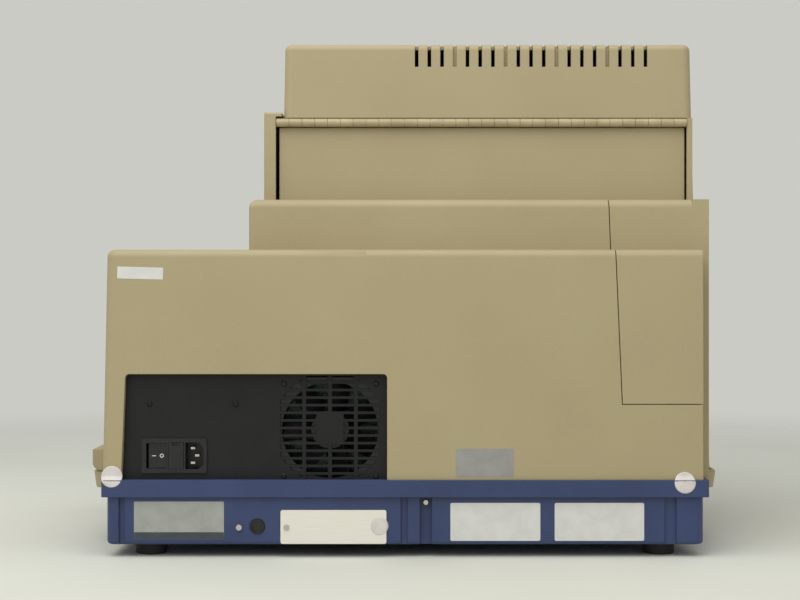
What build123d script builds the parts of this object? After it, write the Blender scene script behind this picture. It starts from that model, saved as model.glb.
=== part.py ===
from build123d import *
import math
import os

os.makedirs("parts", exist_ok=True)

# Microplate reader with a built-in eight-channel transfer head.
# +Z up, +Y to the back where the mains inlet is, +X to the control panel side.
# The origin is on the table, under the middle of the object.

# Housing walls, seams and reaches
wall = 4.0
seam = 0.8
part_gap = 0.5
draft_lean = 3.8

# Microplate footprint, which the drawers and the bay over them are built round
plate_length = 127.8
plate_width = 85.5
plate_clearance = 0.5
tray_side = 0.8
tray_width = plate_length + 2 * plate_clearance + 2 * tray_side
drawer_front_width = tray_width + 0.6
drawer_pitch = drawer_front_width + 1.0

# Widths from side to side: flared cover, bay, deck and skirt
flare_reach = 18.5
bay_margin = 39.0
deck_width = 146.0
skirt_reach = 28.0
half_width = (flare_reach + 3 * drawer_pitch + bay_margin + part_gap + deck_width + skirt_reach) / 2
half_depth = 225.0
tier_two_right_x = flare_reach - half_width
deck_left_x = half_width - skirt_reach
deck_right_x = deck_left_x - deck_width
tower_left_x = deck_right_x - part_gap

# Base pan, its rear lip and the feet
foot_height = 12.0
foot_radius = 15.0
foot_boss = 2.0
foot_set_in = 38.6
foot_set_back = 35.0
base_set_in = 30.4
lip_reach = 4.0
lip_side_reach = 4.4
base_front_set_in = 10.0
base_floor = 4.0
base_rear_wall = 8.0
base_corner = 8.0
lip_length = 90.0
lip_height = 16.0
lip_round = 3.5
seat_z = 73.4
base_half_width = half_width - base_set_in
base_rear_y = half_depth - lip_reach
base_front_y = base_front_set_in - half_depth
lip_half_width = base_half_width + lip_side_reach
lip_front_y = half_depth - lip_length
lip_z = seat_z - lip_height
floor_z = foot_height + base_floor
foot_x = base_half_width - foot_set_in
foot_y = half_depth - foot_set_back
groove_centres = (base_half_width - 14.8, 0.9, 32.0 - base_half_width)
groove_widths = (5.8, 6.6, 11.4)
groove_depth = 3.0
bay_groove_x = -19.6
bay_groove_width = 11.5
bay_groove_depth = 6.0

# Tan band round the front and sides of the base
band_bottom_z = lip_z - 1.7
band_top_z = seat_z - 1.4
band_rear_y = lip_front_y
band_corner = 16.0
band_taper = 8.0
band_gap = 0.2

# Chassis plate and the three plate drawers
chassis_rise = 24.6
chassis_sheet = 3.0
chassis_z = seat_z + chassis_rise
deck_surface_z = chassis_z + chassis_sheet
chassis_right_x = tier_two_right_x + 17.5
chassis_left_x = tower_left_x - 5.5
chassis_front_y = 15.0 - half_depth
chassis_rear_y = lip_front_y
drawer_middle_x = tower_left_x - 220.3
drawer_front_low_z = chassis_z - 2.0
drawer_front_high_z = chassis_z + 50.0
drawer_gap = 0.8
tray_length = 186.0
tray_height = 16.0
tray_bottom_z = deck_surface_z + 3.0
tray_top_z = tray_bottom_z + tray_height
pocket_floor_z = tray_bottom_z + 6.5
pocket_y = 95.0 - half_depth
window_margin = 9.0
rail_offset = 60.0
rail_width = 6.0
rail_length = 184.0
rail_top_z = tray_bottom_z + 3.0
rail_clearance = 0.3
rail_front_y = 19.0 - half_depth
rail_rear_y = rail_front_y + rail_length

# Eight-channel head: its lift ends just over the plates
tip_space = 10.0
lift_travel = 105.0
nozzle_length = 30.0
nozzle_top_radius = 3.6
nozzle_taper = 3.0
head_height = 115.0
head_block_height = 45.0
head_bottom_z = tray_top_z + tip_space + lift_travel + nozzle_length
head_top_z = head_bottom_z + head_height
head_back_y = -72.0
head_front_y = -170.0
head_plate = 8.0
channel_count = 8
channel_pitch = 9.0
channel_y = -130.0
piston_radius = 1.5
piston_clearance = 0.1
plunger_z = head_bottom_z + 85.0
plunger_thickness = 8.0
plunger_travel = 20.0
plunger_shaft_radius = 3.0
plunger_motor_side = 28.0
plunger_motor_height = 30.0

# Transfer gantry over the drawers
beam_right_x = tier_two_right_x + 19.5
beam_left_x = tower_left_x - 23.5
beam_front_y = 5.0
beam_side = 40.0
beam_bottom_z = head_bottom_z + 35.0
beam_wall = 3.0
post_width = 24.0
post_wall = 4.0
x_rail_depth = 8.0
x_rail_height = 12.0
x_rail_z = beam_bottom_z + 10.0
rail_groove = 2.0
pulley_radius = 7.0
pulley_z = beam_bottom_z + 32.0
pulley_width = 8.0
pulley_teeth = 14
pulley_tooth_radius = 0.8
drive_pulley_x = beam_left_x - 22.0
idler_pulley_x = beam_right_x + 18.0
shaft_radius = 2.5
belt_gap = 0.3
belt_thickness = 1.5
belt_width = 6.0
motor_side = 42.0
motor_length = 38.0
motor_round = 4.0
carriage_width = 28.0
carriage_park_x = beam_right_x + 13.7
carriage_plate = 8.0
carriage_back_y = -13.0
carriage_bottom_z = head_bottom_z - 33.0
carriage_top_z = head_top_z + 70.0
slide_gap = 0.3
z_rail_width = 12.0
z_rail_depth = 8.0
screw_y = -52.0
screw_radius = 3.0
z_motor_side = 28.0
z_motor_height = 30.0
carriage_cap = 6.0
bracket_bottom_z = head_top_z - 35.0
bracket_height = 40.0

# Levels of the lid and of the stepped housing, from the lift motor downwards
lid_headroom = 17.6
lid_height = 155.6
hinge_drop = 77.8
tier_step_z = 50.0
lid_top_z = carriage_top_z + z_motor_height + lid_headroom
hinge_z = lid_top_z - hinge_drop
tier_two_z = lid_top_z - lid_height
tier_one_z = tier_two_z - tier_step_z

# Stepped rear housing
tier_one_set_in = 3.0
tier_step_y = 40.0
tier_one_side_set_in = 5.0
tier_one_round = 10.0
tier_two_reach = 12.5
tier_two_round = 8.0
tier_one_rear_y = half_depth - tier_one_set_in
tier_one_right_x = tier_one_side_set_in - lip_half_width
tier_one_left_x = lip_half_width
tier_two_rear_y = tier_one_rear_y - tier_step_y
tier_two_left_x = tower_left_x + tier_two_reach
seam_top_x = tier_one_right_x + 85.0
seam_step_x = seam_top_x - 2.0
seam_low_x = seam_top_x - 8.0
seam_z = seat_z + 71.6
flare_x = 2.0 - half_width
flare_y = half_depth - 125.0
side_top_front_x = tier_two_right_x - 3.5
side_top_mid_x = tier_two_right_x - 2.0

# Tower: fixed side wall, hinge panel and front bezel
tower_set_in = 72.0
tower_strip_width = 11.5
ledge_rise = 10.2
ledge_width = 17.3
panel_set_in = 14.8
panel_recess = 5.5
panel_overlap = 42.0
bezel_set_in = 6.0
bezel_flange = 16.0
tower_rear_y = half_depth - tower_set_in
ledge_z = hinge_z + ledge_rise
ledge_inner_x = tower_left_x - ledge_width
side_inner_x = tier_two_right_x + 16.0
panel_left_x = tower_left_x - panel_set_in
panel_right_x = side_inner_x + 1.7
panel_rear_y = tower_rear_y - panel_recess
panel_bottom_z = tier_two_z - panel_overlap
bezel_right_x = tier_two_right_x + bezel_set_in

# Lid over the transfer bay and its piano hinge
lid_seat_gap = 0.3
lid_gap = 0.6
lid_left_draft = 2.6
lid_right_draft = 3.7
lid_front_set_in = 2.0
lid_front_draft = 18.0
lid_corner = 8.0
lid_round = 6.0
lid_flange = 3.3
lid_left_low_x = ledge_inner_x - lid_gap
lid_left_top_x = lid_left_low_x - lid_left_draft
lid_right_low_x = bezel_right_x + 2.8
lid_right_top_x = lid_right_low_x + lid_right_draft
lid_front_low_y = lid_front_set_in - half_depth
lid_front_top_y = lid_front_low_y + lid_front_draft
lid_seat_z = tier_two_z + lid_seat_gap
hinge_y = tower_rear_y - 1.4
knuckle_radius = 4.1
knuckle_pitch = 12.7
knuckle_start_x = panel_left_x + 2.7
knuckle_count = round((knuckle_start_x - panel_right_x) / knuckle_pitch)
knuckle_gap = 0.3
pin_radius = 1.6
pin_clearance = 0.05
leaf_thickness = 1.5
leaf_height = 24.0
leaf_bend = 3.6
leaf_reach = 2.5
hinge_relief = 4.6
vent_count = 19
vent_pitch = 12.6
vent_start_x = -11.6
vent_width = 3.6
vent_reach = 22.6
vent_low_z = lid_top_z - vent_reach
vent_depth = 14.0
rib_every = 4
rib_thickness = 4.4
rib_depth = 6.0

# Mains panel with the fan grille
panel_inset = 12.0
panel_sheet = 2.5
panel_y = half_depth - panel_inset
opening_width = 250.4
opening_height = 100.3
opening_left_x = tier_one_left_x - 20.5
opening_right_x = opening_left_x - opening_width
opening_top_z = seat_z + opening_height
opening_round = 4.0
rim = 3.0
panel_margin = 5.0
fan_x = opening_right_x + 54.5
fan_z = seat_z + 46.8
fan_side = 100.0
fan_thickness = 25.0
fan_duct_radius = 46.0
fan_hub_radius = 18.0
fan_screw_pitch = 88.0
fan_spoke = 5.0
fan_spoke_depth = 4.0
blade_count = 7
blade_tip_gap = 1.2
blade_thickness = 1.6
blade_chord = 24.0
blade_angle = 38.0
rotor_gap = 1.0
grille_rows = 14
grille_columns = 4
grille_row_pitch = 7.24
grille_column_pitch = 24.65
grille_slot_width = 21.0
grille_slot_height = 4.8
grille_radius = 54.0
grille_centre_z = fan_z + 1.8
grille_hub_width = 26.0
grille_hub_height = 29.0
panel_screw_radius = 2.6
panel_screw_left_x = opening_left_x - 23.8
panel_screw_right_x = opening_left_x - 106.1
panel_screw_high_z = opening_top_z - 28.7
screw_head = 1.4

# Mains entry: rocker switch, fuse drawer and inlet in one bezel
entry_x = opening_left_x - 47.6
entry_z = seat_z + 22.2
entry_width = 62.1
entry_height = 32.9
entry_bezel = 2.0
entry_depth = 30.0
entry_wall = 2.0
inlet_x = entry_x - 19.4
inlet_width = 17.3
inlet_height = 25.6
inlet_depth = 16.0
inlet_chamfer = 5.0
blade_pin_width = 4.0
blade_pin_height = 2.0
blade_pin_length = 11.5
blade_pin_pitch = 14.0
blade_pin_offset = 2.0
rocker_x = entry_x + 16.9
rocker_width = 16.6
rocker_height = 23.6
rocker_depth = 7.5
rocker_pocket = 13.0
rocker_pivot_y = panel_y - 7.0
rocker_pin_reach = 1.8
rocker_tilt = 8.0
rocker_clearance = 1.3
rocker_pin_radius = 1.5
fuse_x = entry_x - 1.7
fuse_width = 14.2
fuse_height = 25.0
fuse_depth = 22.0
fuse_clearance = 0.3
fuse_notch = 3.0
fuse_bore = 6.0

# Things on the back of the base
cover_plate_width = 100.3
plate_left_x = 118.1
plate_right_x = plate_left_x - cover_plate_width
plate_top_z = foot_height + 33.0
plate_bottom_z = foot_height + 1.0
plate_thickness = 1.5
plate_corner = 2.0
port_margin = 14.0
plate_screw_x = plate_left_x - 5.6
ground_screw_x = 157.4
base_screw_z = foot_height + 16.6
base_screw_radius = 2.8
din_x = 140.2
din_z = foot_height + 17.4
din_radius = 6.95
din_flange = 1.2
din_depth = 14.0
standoff_z = foot_height + 40.0
standoff_across = 5.0

# Low deck at the front with the display, the keys and the cuvette port
shelf_length = 115.0
slope_length_y = 105.0
deck_foot_y = shelf_length - half_depth
deck_top_y = deck_foot_y + slope_length_y
housing_front_y = deck_top_y + 25.0
shelf_z = seat_z + 46.6
shelf_round = 8.0
skirt_height = 20.6
skirt_z = seat_z + skirt_height
skirt_round = 8.0
skirt_inner_x = deck_left_x + 2.6
skirt_outer_x = half_width - 1.0
lower_skirt_rear_y = lip_front_y - 1.0
display_width = 92.0
display_height = 26.0
display_frame = 9.0
display_depth = 8.0
display_down = 55.5
display_up = math.hypot(slope_length_y, tier_one_z - shelf_z) - display_down
window_gap = 0.3
key_width = 20.0
key_height = 12.0
key_pitch_x = 32.0
key_pitch_y = 24.0
key_drop = 68.0
key_up = display_up - key_drop
key_rise = 2.5
key_gap = 0.4
key_flange = 2.0
cuvette_x = deck_left_x - 50.0
cuvette_y = 57.0 - half_depth
cuvette_side = 12.6
cuvette_depth = 46.0
cuvette_body = 26.0
cuvette_flange = 44.0
cuvette_flange_thickness = 3.0
cuvette_mouth = 34.0
hatch_width = 54.0
hatch_length = 50.0
hatch_thickness = 5.0
hatch_gap = 0.3
hatch_pin_radius = 2.0
hatch_barrel_radius = 4.0
hatch_ear = 5.0
hatch_side_gap = 0.4

# Electronics and optics under the deck
psu_width = 98.0
psu_length = 165.0
psu_height = seat_z - floor_z - 1.4
psu_x = base_half_width - wall - 17.6 - psu_width / 2
psu_y = half_depth - 160.0
psu_slots = 12
psu_slot_pitch = 12.0
board_width = 200.0
board_height = 170.0
board_sheet = 1.6
board_x = opening_right_x + 27.9
board_y = panel_y - 53.0
board_z = floor_z + 8.0
chip_width = 26.0
chip_height = 22.0
chip_rise = 5.0
optics_width = 180.0
optics_length = 180.0
optics_height = chassis_z - floor_z - 6.0
optics_x = chassis_left_x - 114.0
optics_y = board_y - 35.0 - optics_length / 2
lamp_radius = 18.0
lamp_length = 64.0
lamp_fins = 5

tower_front_y = wall - half_depth


def rectangle_between(x_low, x_high, y_low, y_high):
    """Draw a rectangle from its limits in the sketch that is open."""
    with Locations(((x_low + x_high) / 2, (y_low + y_high) / 2)):
        Rectangle(x_high - x_low, y_high - y_low)


def box_between(x_low, x_high, y_low, y_high, z_low, z_high, mode=Mode.ADD):
    """Add or cut a box from its limits in the part that is open."""
    with Locations(((x_low + x_high) / 2, (y_low + y_high) / 2, (z_low + z_high) / 2)):
        Box(x_high - x_low, y_high - y_low, z_high - z_low, mode=mode)


def back_plane(y):
    """A sketch plane facing the front at the given Y, with local X and Y along X and Z."""
    return Plane.XZ.offset(-y)


def save(piece, label):
    """Name a finished piece and write it."""
    piece.part.label = label
    export_step(piece.part, f"parts/{label}.step")


# Base pan: an open tray on foot bosses, with a lip round its back
with BuildPart() as base_pan:
    with BuildSketch(Plane.XY.offset(foot_height)):
        with Locations((0, (base_rear_y + base_front_y) / 2)):
            RectangleRounded(2 * base_half_width, base_rear_y - base_front_y, base_corner)
    extrude(amount=lip_z - foot_height)
    fillet(base_pan.faces().sort_by(Axis.Z)[0].edges(), lip_round)
    with BuildSketch(Plane.XY.offset(lip_z)):
        rectangle_between(-lip_half_width, lip_half_width, lip_front_y, half_depth)
    extrude(amount=seat_z - lip_z)
    lip_corners = base_pan.edges().filter_by(Axis.Z).group_by(Axis.Y)[-1]
    fillet(lip_corners, lip_round)
    with BuildSketch(Plane.XY.offset(floor_z)):
        rectangle_between(-base_half_width + wall, base_half_width - wall,
                          base_front_y + wall, base_rear_y - base_rear_wall)
    extrude(amount=seat_z, mode=Mode.SUBTRACT)
    for centre, width in zip(groove_centres, groove_widths):
        box_between(centre - width / 2, centre + width / 2, base_rear_y - groove_depth, half_depth,
                    foot_height, lip_z, Mode.SUBTRACT)
    box_between(bay_groove_x - bay_groove_width / 2, bay_groove_x + bay_groove_width / 2,
                base_rear_y - bay_groove_depth, half_depth, foot_height, lip_z, Mode.SUBTRACT)
    box_between(plate_right_x + port_margin, plate_left_x - port_margin, base_rear_y - 2 * base_rear_wall,
                half_depth, plate_bottom_z + port_margin / 2, plate_top_z - port_margin / 2, Mode.SUBTRACT)
    with BuildSketch(back_plane(base_rear_y)):
        with Locations((din_x, din_z)):
            Circle(din_radius + part_gap / 2)
    extrude(amount=2 * base_rear_wall, mode=Mode.SUBTRACT)
    with BuildSketch(Plane.XY.offset(foot_height)):
        with GridLocations(2 * foot_x, 2 * foot_y, 2, 2):
            Circle(foot_radius + foot_boss)
    extrude(amount=-foot_boss)
save(base_pan, "base_pan")

# Four rubber feet under the bosses
with BuildPart() as feet:
    with BuildSketch():
        with GridLocations(2 * foot_x, 2 * foot_y, 2, 2):
            Circle(foot_radius)
    extrude(amount=foot_height - foot_boss)
    chamfer(feet.faces().group_by(Axis.Z)[0].edges(), foot_boss / 2)
save(feet, "feet")

# Band round the front and sides, a gutter that the front covers stand on
with BuildPart() as lower_band:
    with BuildSketch(Plane.XY.offset(band_top_z)):
        with Locations((0, (band_rear_y - half_depth) / 2)):
            RectangleRounded(2 * half_width, band_rear_y + half_depth, band_corner)
    extrude(amount=band_top_z - band_bottom_z, dir=(0, 0, -1), taper=band_taper)
    with BuildSketch(Plane.XY.offset(band_top_z)):
        with Locations((0, (band_rear_y - half_depth) / 2)):
            RectangleRounded(2 * (half_width - wall / 2), band_rear_y + half_depth - wall, band_corner - wall / 2)
    extrude(amount=seat_z - band_top_z)
    with BuildSketch(Plane.XY.offset(band_bottom_z + wall)):
        with Locations((0, (band_rear_y - half_depth) / 2)):
            RectangleRounded(2 * (half_width - wall), band_rear_y + half_depth - 2 * wall, band_corner - wall)
    extrude(amount=seat_z, mode=Mode.SUBTRACT)
    with BuildSketch(Plane.XY.offset(band_bottom_z)):
        rectangle_between(-base_half_width - band_gap, base_half_width + band_gap,
                          base_front_y - band_gap, half_depth)
    extrude(amount=seat_z, mode=Mode.SUBTRACT)
save(lower_band, "lower_band")


def step_block(low_points, high_points, z_low, z_high):
    """A block whose sides lean from one outline to another."""
    with BuildPart() as block:
        for points, level in ((low_points, z_low), (high_points, z_high)):
            with BuildSketch(Plane.XY.offset(level)):
                with BuildLine():
                    Polyline(*points, close=True)
                make_face()
        loft(ruled=True)
    return block.part


def tier_one_points(left_x, rear_y, right_x, front_y, inner_x, forward_y):
    """Outline of the lower tier: a wide back with an arm forward beside the tower."""
    return ((left_x, rear_y), (right_x, rear_y), (right_x, front_y), (inner_x, front_y),
            (inner_x, forward_y), (left_x, forward_y))


tier_one_inner_x = (tower_left_x + tier_two_left_x) / 2
tier_one_body = step_block(
    tier_one_points(tier_one_left_x, tier_one_rear_y, tier_one_right_x, tower_rear_y, tier_one_inner_x,
                    housing_front_y),
    tier_one_points(tier_one_left_x - draft_lean, tier_one_rear_y - draft_lean, tier_one_right_x,
                    tower_rear_y, tier_one_inner_x, housing_front_y),
    seat_z, tier_one_z)
tier_one_hollow = step_block(
    tier_one_points(tier_one_left_x - wall, tier_one_rear_y - wall, tier_one_right_x + wall,
                    tower_rear_y - 2 * wall, tower_left_x - wall, housing_front_y - wall),
    tier_one_points(tier_one_left_x - draft_lean - wall, tier_one_rear_y - draft_lean - wall,
                    tier_one_right_x + wall, tower_rear_y - 2 * wall, tower_left_x - wall,
                    housing_front_y - wall),
    seat_z, tier_one_z - wall)

with BuildPart() as tier_one:
    add(tier_one_body)
    corner = tier_one.edges().filter_by(lambda e: e.length > tier_one_z - seat_z - 1).sort_by(
        lambda e: e.center().X + e.center().Y)[-1]
    fillet(corner, tier_one_round)
    top_edges = tier_one.faces().sort_by(Axis.Z)[-1].edges()
    outer_top = top_edges.filter_by(
        lambda e: e.center().Y > tier_one_rear_y - draft_lean - tier_one_round
        or e.center().X > tier_one_left_x - draft_lean - tier_one_round)
    fillet(outer_top, tier_one_round / 2 + wall / 2)

with BuildPart() as tier_two:
    with BuildSketch(Plane.XY.offset(tier_one_z - wall)):
        rectangle_between(tier_two_right_x, tier_two_left_x, tower_rear_y - wall, tier_two_rear_y)
        rectangle_between(tower_left_x + part_gap, tier_two_left_x, housing_front_y, tier_two_rear_y)
    extrude(amount=tier_two_z - tier_one_z + wall)
    fillet(tier_two.edges().filter_by(Axis.Z).sort_by(lambda e: e.center().X + e.center().Y)[-1], wall)
    outer_edges = tier_two.faces().sort_by(Axis.Z)[-1].edges().filter_by(
        lambda e: e.center().Y > tier_two_rear_y - wall - 1 or e.center().X > tier_two_left_x - wall - 1)
    fillet(outer_edges, tier_two_round)

with BuildPart() as tier_two_hollow:
    box_between(tier_two_right_x + wall, tier_two_left_x - wall, panel_rear_y - 2 * wall,
                tier_two_rear_y - wall, tier_one_z - 2 * wall, tier_two_z - wall)
    box_between(tower_left_x - wall, tier_two_left_x - wall, housing_front_y - wall,
                tier_two_rear_y - wall, tier_one_z - 2 * wall, tier_two_z - wall)

# The flared side: square at the top, spreading towards the front and the bottom
side_body = step_block(
    ((side_inner_x, tier_two_rear_y), (tier_two_right_x, tier_two_rear_y), (flare_x, flare_y),
     (flare_x, -half_depth), (side_inner_x, -half_depth)),
    ((side_inner_x, tier_two_rear_y), (tier_two_right_x, tier_two_rear_y), (side_top_mid_x, flare_y),
     (side_top_front_x, -half_depth), (side_inner_x, -half_depth)),
    seat_z, tier_two_z)
side_hollow = step_block(
    ((side_inner_x + wall, tier_two_rear_y - wall), (tier_two_right_x + wall, tier_two_rear_y - wall),
     (flare_x + wall, flare_y), (flare_x + wall, tower_front_y), (side_inner_x + wall, tower_front_y)),
    ((side_inner_x + wall, tier_two_rear_y - wall), (tier_two_right_x + wall, tier_two_rear_y - wall),
     (side_top_mid_x + wall, flare_y), (side_top_front_x + wall, tower_front_y),
     (side_inner_x + wall, tower_front_y)),
    seat_z, tier_two_z - wall)

seam_outline = ((seam_top_x, tier_two_z + wall), (seam_step_x, tier_one_z), (seam_low_x, seam_z),
                (tier_one_right_x, seam_z), (tier_one_right_x, seat_z - wall),
                (-half_width - wall, seat_z - wall), (-half_width - wall, tier_two_z + wall))


def seam_region(grow):
    """Everything on the side cover's side of the parting line, grown by half the seam."""
    with BuildPart() as region:
        with BuildSketch(back_plane(half_depth + wall)):
            with BuildLine():
                Polyline(*seam_outline, close=True)
            make_face()
            offset(amount=grow, kind=Kind.INTERSECTION)
        extrude(amount=2 * half_depth + 2 * wall)
    return region.part


# Rear cover: both steps of the back, open below and towards the tower
with BuildPart() as rear_cover:
    add(tier_one.part)
    add(tier_two.part)
    add(tier_one_hollow, mode=Mode.SUBTRACT)
    add(tier_two_hollow.part, mode=Mode.SUBTRACT)
    box_between(side_inner_x - wall, tower_left_x + part_gap, -half_depth, panel_rear_y, seat_z,
                tier_two_z + wall, Mode.SUBTRACT)
    box_between(panel_left_x, tower_left_x + part_gap, -half_depth, tower_rear_y + part_gap, seat_z,
                tier_two_z + wall, Mode.SUBTRACT)
    add(seam_region(seam / 2), mode=Mode.SUBTRACT)
    box_between(opening_right_x - rim, opening_left_x + rim + draft_lean / 2, panel_y,
                tier_one_rear_y - wall + part_gap / 2, seat_z, opening_top_z + rim)
    with BuildSketch(back_plane(half_depth)):
        with BuildLine():
            Polyline((opening_right_x, seat_z - wall), (opening_right_x, opening_top_z),
                     (opening_left_x - draft_lean / 2, opening_top_z),
                     (opening_left_x + draft_lean / 2, seat_z - wall), close=True)
        make_face()
        fillet(vertices().group_by(Axis.Z)[-1], opening_round)
    extrude(amount=half_depth - panel_y + part_gap, mode=Mode.SUBTRACT)
save(rear_cover, "rear_cover")

# Side cover: the flared side wall with the ends of both steps
with BuildPart() as side_cover:
    add(tier_one.part)
    add(tier_two.part)
    add(side_body)
    add(tier_one_hollow, mode=Mode.SUBTRACT)
    add(tier_two_hollow.part, mode=Mode.SUBTRACT)
    add(side_hollow, mode=Mode.SUBTRACT)
    box_between(side_inner_x, half_width, -half_depth, panel_rear_y, seat_z, tier_two_z + wall,
                Mode.SUBTRACT)
    box_between(bezel_right_x - part_gap, side_inner_x, -half_depth, tower_front_y + bezel_flange + part_gap,
                seat_z, tier_two_z, Mode.SUBTRACT)
    add(seam_region(-seam / 2), mode=Mode.INTERSECT)
save(side_cover, "side_cover")

# Tower side wall: the fixed ledge beside the lid
with BuildPart() as tower_side_wall:
    box_between(tower_left_x - wall, tower_left_x, tower_front_y + part_gap, tower_rear_y,
                deck_surface_z, ledge_z)
    box_between(ledge_inner_x, tower_left_x, tower_front_y + part_gap, tower_rear_y, ledge_z - wall, ledge_z)
    box_between(tower_left_x - tower_strip_width, tower_left_x, tower_rear_y - wall, tower_rear_y,
                tier_two_z - 2 * wall, ledge_z)
    box_between(ledge_inner_x, tower_left_x, tower_front_y + part_gap, tower_front_y + wall,
                tier_two_z + part_gap, ledge_z)
    outer_corner = tower_side_wall.edges().filter_by(Axis.X).sort_by(lambda e: e.center().Y + e.center().Z)[-1]
    fillet(outer_corner, wall / 2)
save(tower_side_wall, "tower_side_wall")

# Hinge panel: the recessed wall under the lid's hinge
with BuildPart() as hinge_panel:
    box_between(panel_right_x, panel_left_x, panel_rear_y - wall, panel_rear_y, panel_bottom_z,
                hinge_z - hinge_relief)
    box_between(panel_right_x, panel_left_x, panel_rear_y - 3 * wall, panel_rear_y - wall,
                panel_bottom_z, panel_bottom_z + wall)
save(hinge_panel, "hinge_panel")

# Front bezel with one wide mouth for the three drawer fronts
drawer_mouth_half = drawer_pitch + drawer_front_width / 2 + drawer_gap
with BuildPart() as front_bezel:
    box_between(bezel_right_x, tower_left_x, -half_depth, tower_front_y, seat_z, tier_two_z)
    box_between(side_inner_x, tower_left_x - wall, tower_front_y, tower_front_y + bezel_flange,
                tier_two_z - wall, tier_two_z)
    fillet(front_bezel.edges().filter_by(Axis.X).sort_by(lambda e: e.center().Y - e.center().Z)[0], wall / 2)
    box_between(drawer_middle_x - drawer_mouth_half, drawer_middle_x + drawer_mouth_half, -half_depth,
                tower_front_y, drawer_front_low_z - drawer_gap, drawer_front_high_z + drawer_gap,
                Mode.SUBTRACT)
save(front_bezel, "front_bezel")

# Low deck: a sloped panel over a flat shelf, with a skirt along the side
deck_profile = ((housing_front_y - part_gap, seat_z), (housing_front_y - part_gap, tier_one_z),
                (deck_top_y, tier_one_z), (deck_foot_y, shelf_z), (-half_depth, shelf_z), (-half_depth, seat_z))
deck_middle_x = (deck_left_x + deck_right_x) / 2
slope_run = deck_top_y - deck_foot_y
slope_rise = tier_one_z - shelf_z
slope_plane = Plane(origin=(deck_middle_x, deck_foot_y, shelf_z), x_dir=(1, 0, 0),
                    z_dir=(0, -slope_rise, slope_run))
hinge_line_y = cuvette_y + hatch_length / 2 + hatch_barrel_radius
hinge_line_z = shelf_z + hatch_gap + hatch_barrel_radius
with BuildPart() as control_deck:
    with BuildSketch(Plane.YZ.offset(deck_right_x)):
        with BuildLine():
            Polyline(*deck_profile, close=True)
        make_face()
    extrude(amount=deck_left_x - deck_right_x)
    bends = control_deck.edges().filter_by(Axis.X).filter_by(lambda e: e.center().Z > shelf_z - 1)
    fillet(bends.sort_by(Axis.Y)[:3], shelf_round)
    with BuildSketch(Plane.YZ.offset(deck_right_x + wall)):
        with BuildLine():
            Polyline(*deck_profile, close=True)
        make_face()
        offset(amount=-wall, kind=Kind.INTERSECTION)
    extrude(amount=deck_left_x - deck_right_x - 2 * wall, mode=Mode.SUBTRACT)
    box_between(deck_right_x + wall, deck_left_x - wall, tower_front_y, housing_front_y - part_gap - wall,
                seat_z, seat_z + 2 * wall, Mode.SUBTRACT)
    with BuildSketch(back_plane(lower_skirt_rear_y)):
        rectangle_between(skirt_inner_x, skirt_outer_x, seat_z, skirt_z)
        fillet(vertices().sort_by(lambda v: v.X + v.Z)[-1], skirt_round)
    extrude(amount=lower_skirt_rear_y + half_depth)
    box_between(deck_left_x - wall / 2, skirt_inner_x + wall, -half_depth, housing_front_y - part_gap, seat_z,
                skirt_z)
    box_between(deck_left_x, skirt_outer_x - wall, tower_front_y, lower_skirt_rear_y - wall, seat_z,
                skirt_z - skirt_round - wall / 2, Mode.SUBTRACT)
    with BuildSketch(slope_plane):
        with Locations((0, display_up)):
            Rectangle(display_width + 2 * window_gap, display_height + 2 * window_gap)
        with Locations((0, key_up)):
            with GridLocations(key_pitch_x, key_pitch_y, 3, 2):
                Rectangle(key_width + 2 * key_gap, key_height + 2 * key_gap)
    extrude(amount=-2 * wall, mode=Mode.SUBTRACT)
    box_between(cuvette_x - cuvette_mouth / 2, cuvette_x + cuvette_mouth / 2, cuvette_y - cuvette_mouth / 2,
                cuvette_y + cuvette_mouth / 2, shelf_z - 2 * wall, shelf_z, Mode.SUBTRACT)
    for side in (-1, 1):
        ear_x = cuvette_x + side * (hatch_width - hatch_ear) / 2
        with BuildSketch(Plane.YZ.offset(ear_x - hatch_ear / 2)):
            rectangle_between(hinge_line_y - hatch_barrel_radius, hinge_line_y + hatch_barrel_radius,
                              shelf_z - wall / 2, hinge_line_z)
            with Locations((hinge_line_y, hinge_line_z)):
                Circle(hatch_barrel_radius)
        extrude(amount=hatch_ear)
    with BuildSketch(Plane.YZ.offset(cuvette_x - hatch_width)):
        with Locations((hinge_line_y, hinge_line_z)):
            Circle(hatch_pin_radius + pin_clearance)
    extrude(amount=2 * hatch_width, mode=Mode.SUBTRACT)
save(control_deck, "control_deck")

# Display behind its window
with BuildPart() as display_module:
    with BuildSketch(slope_plane.offset(-wall)):
        with Locations((0, display_up)):
            Rectangle(display_width + 2 * display_frame, display_height + 2 * display_frame)
    extrude(amount=-display_depth)
save(display_module, "display_module")

with BuildPart() as display_window:
    with BuildSketch(slope_plane.offset(-wall)):
        with Locations((0, display_up)):
            Rectangle(display_width, display_height)
    extrude(amount=wall - part_gap)
save(display_window, "display_window")

# Six keys, each held under the panel by its flange
key_names = ("temperature_key", "down_key", "up_key", "drawer_key", "read_key", "start_key")
for number, key_name in enumerate(key_names):
    key_x = (number % 3 - 1) * key_pitch_x
    key_y = key_up + (number // 3 - 0.5) * key_pitch_y
    with BuildPart() as key:
        with BuildSketch(slope_plane.offset(-wall - slide_gap)):
            with Locations((key_x, key_y)):
                RectangleRounded(key_width, key_height, 2)
        extrude(amount=wall + slide_gap + key_rise)
        fillet(key.faces().sort_by(Axis((0, 0, 0), slope_plane.z_dir))[-1].edges(), 1)
        with BuildSketch(slope_plane.offset(-wall - slide_gap)):
            with Locations((key_x, key_y)):
                Rectangle(key_width + 2 * key_flange, key_height + 2 * key_flange)
        extrude(amount=-key_flange)
    save(key, key_name)

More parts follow.
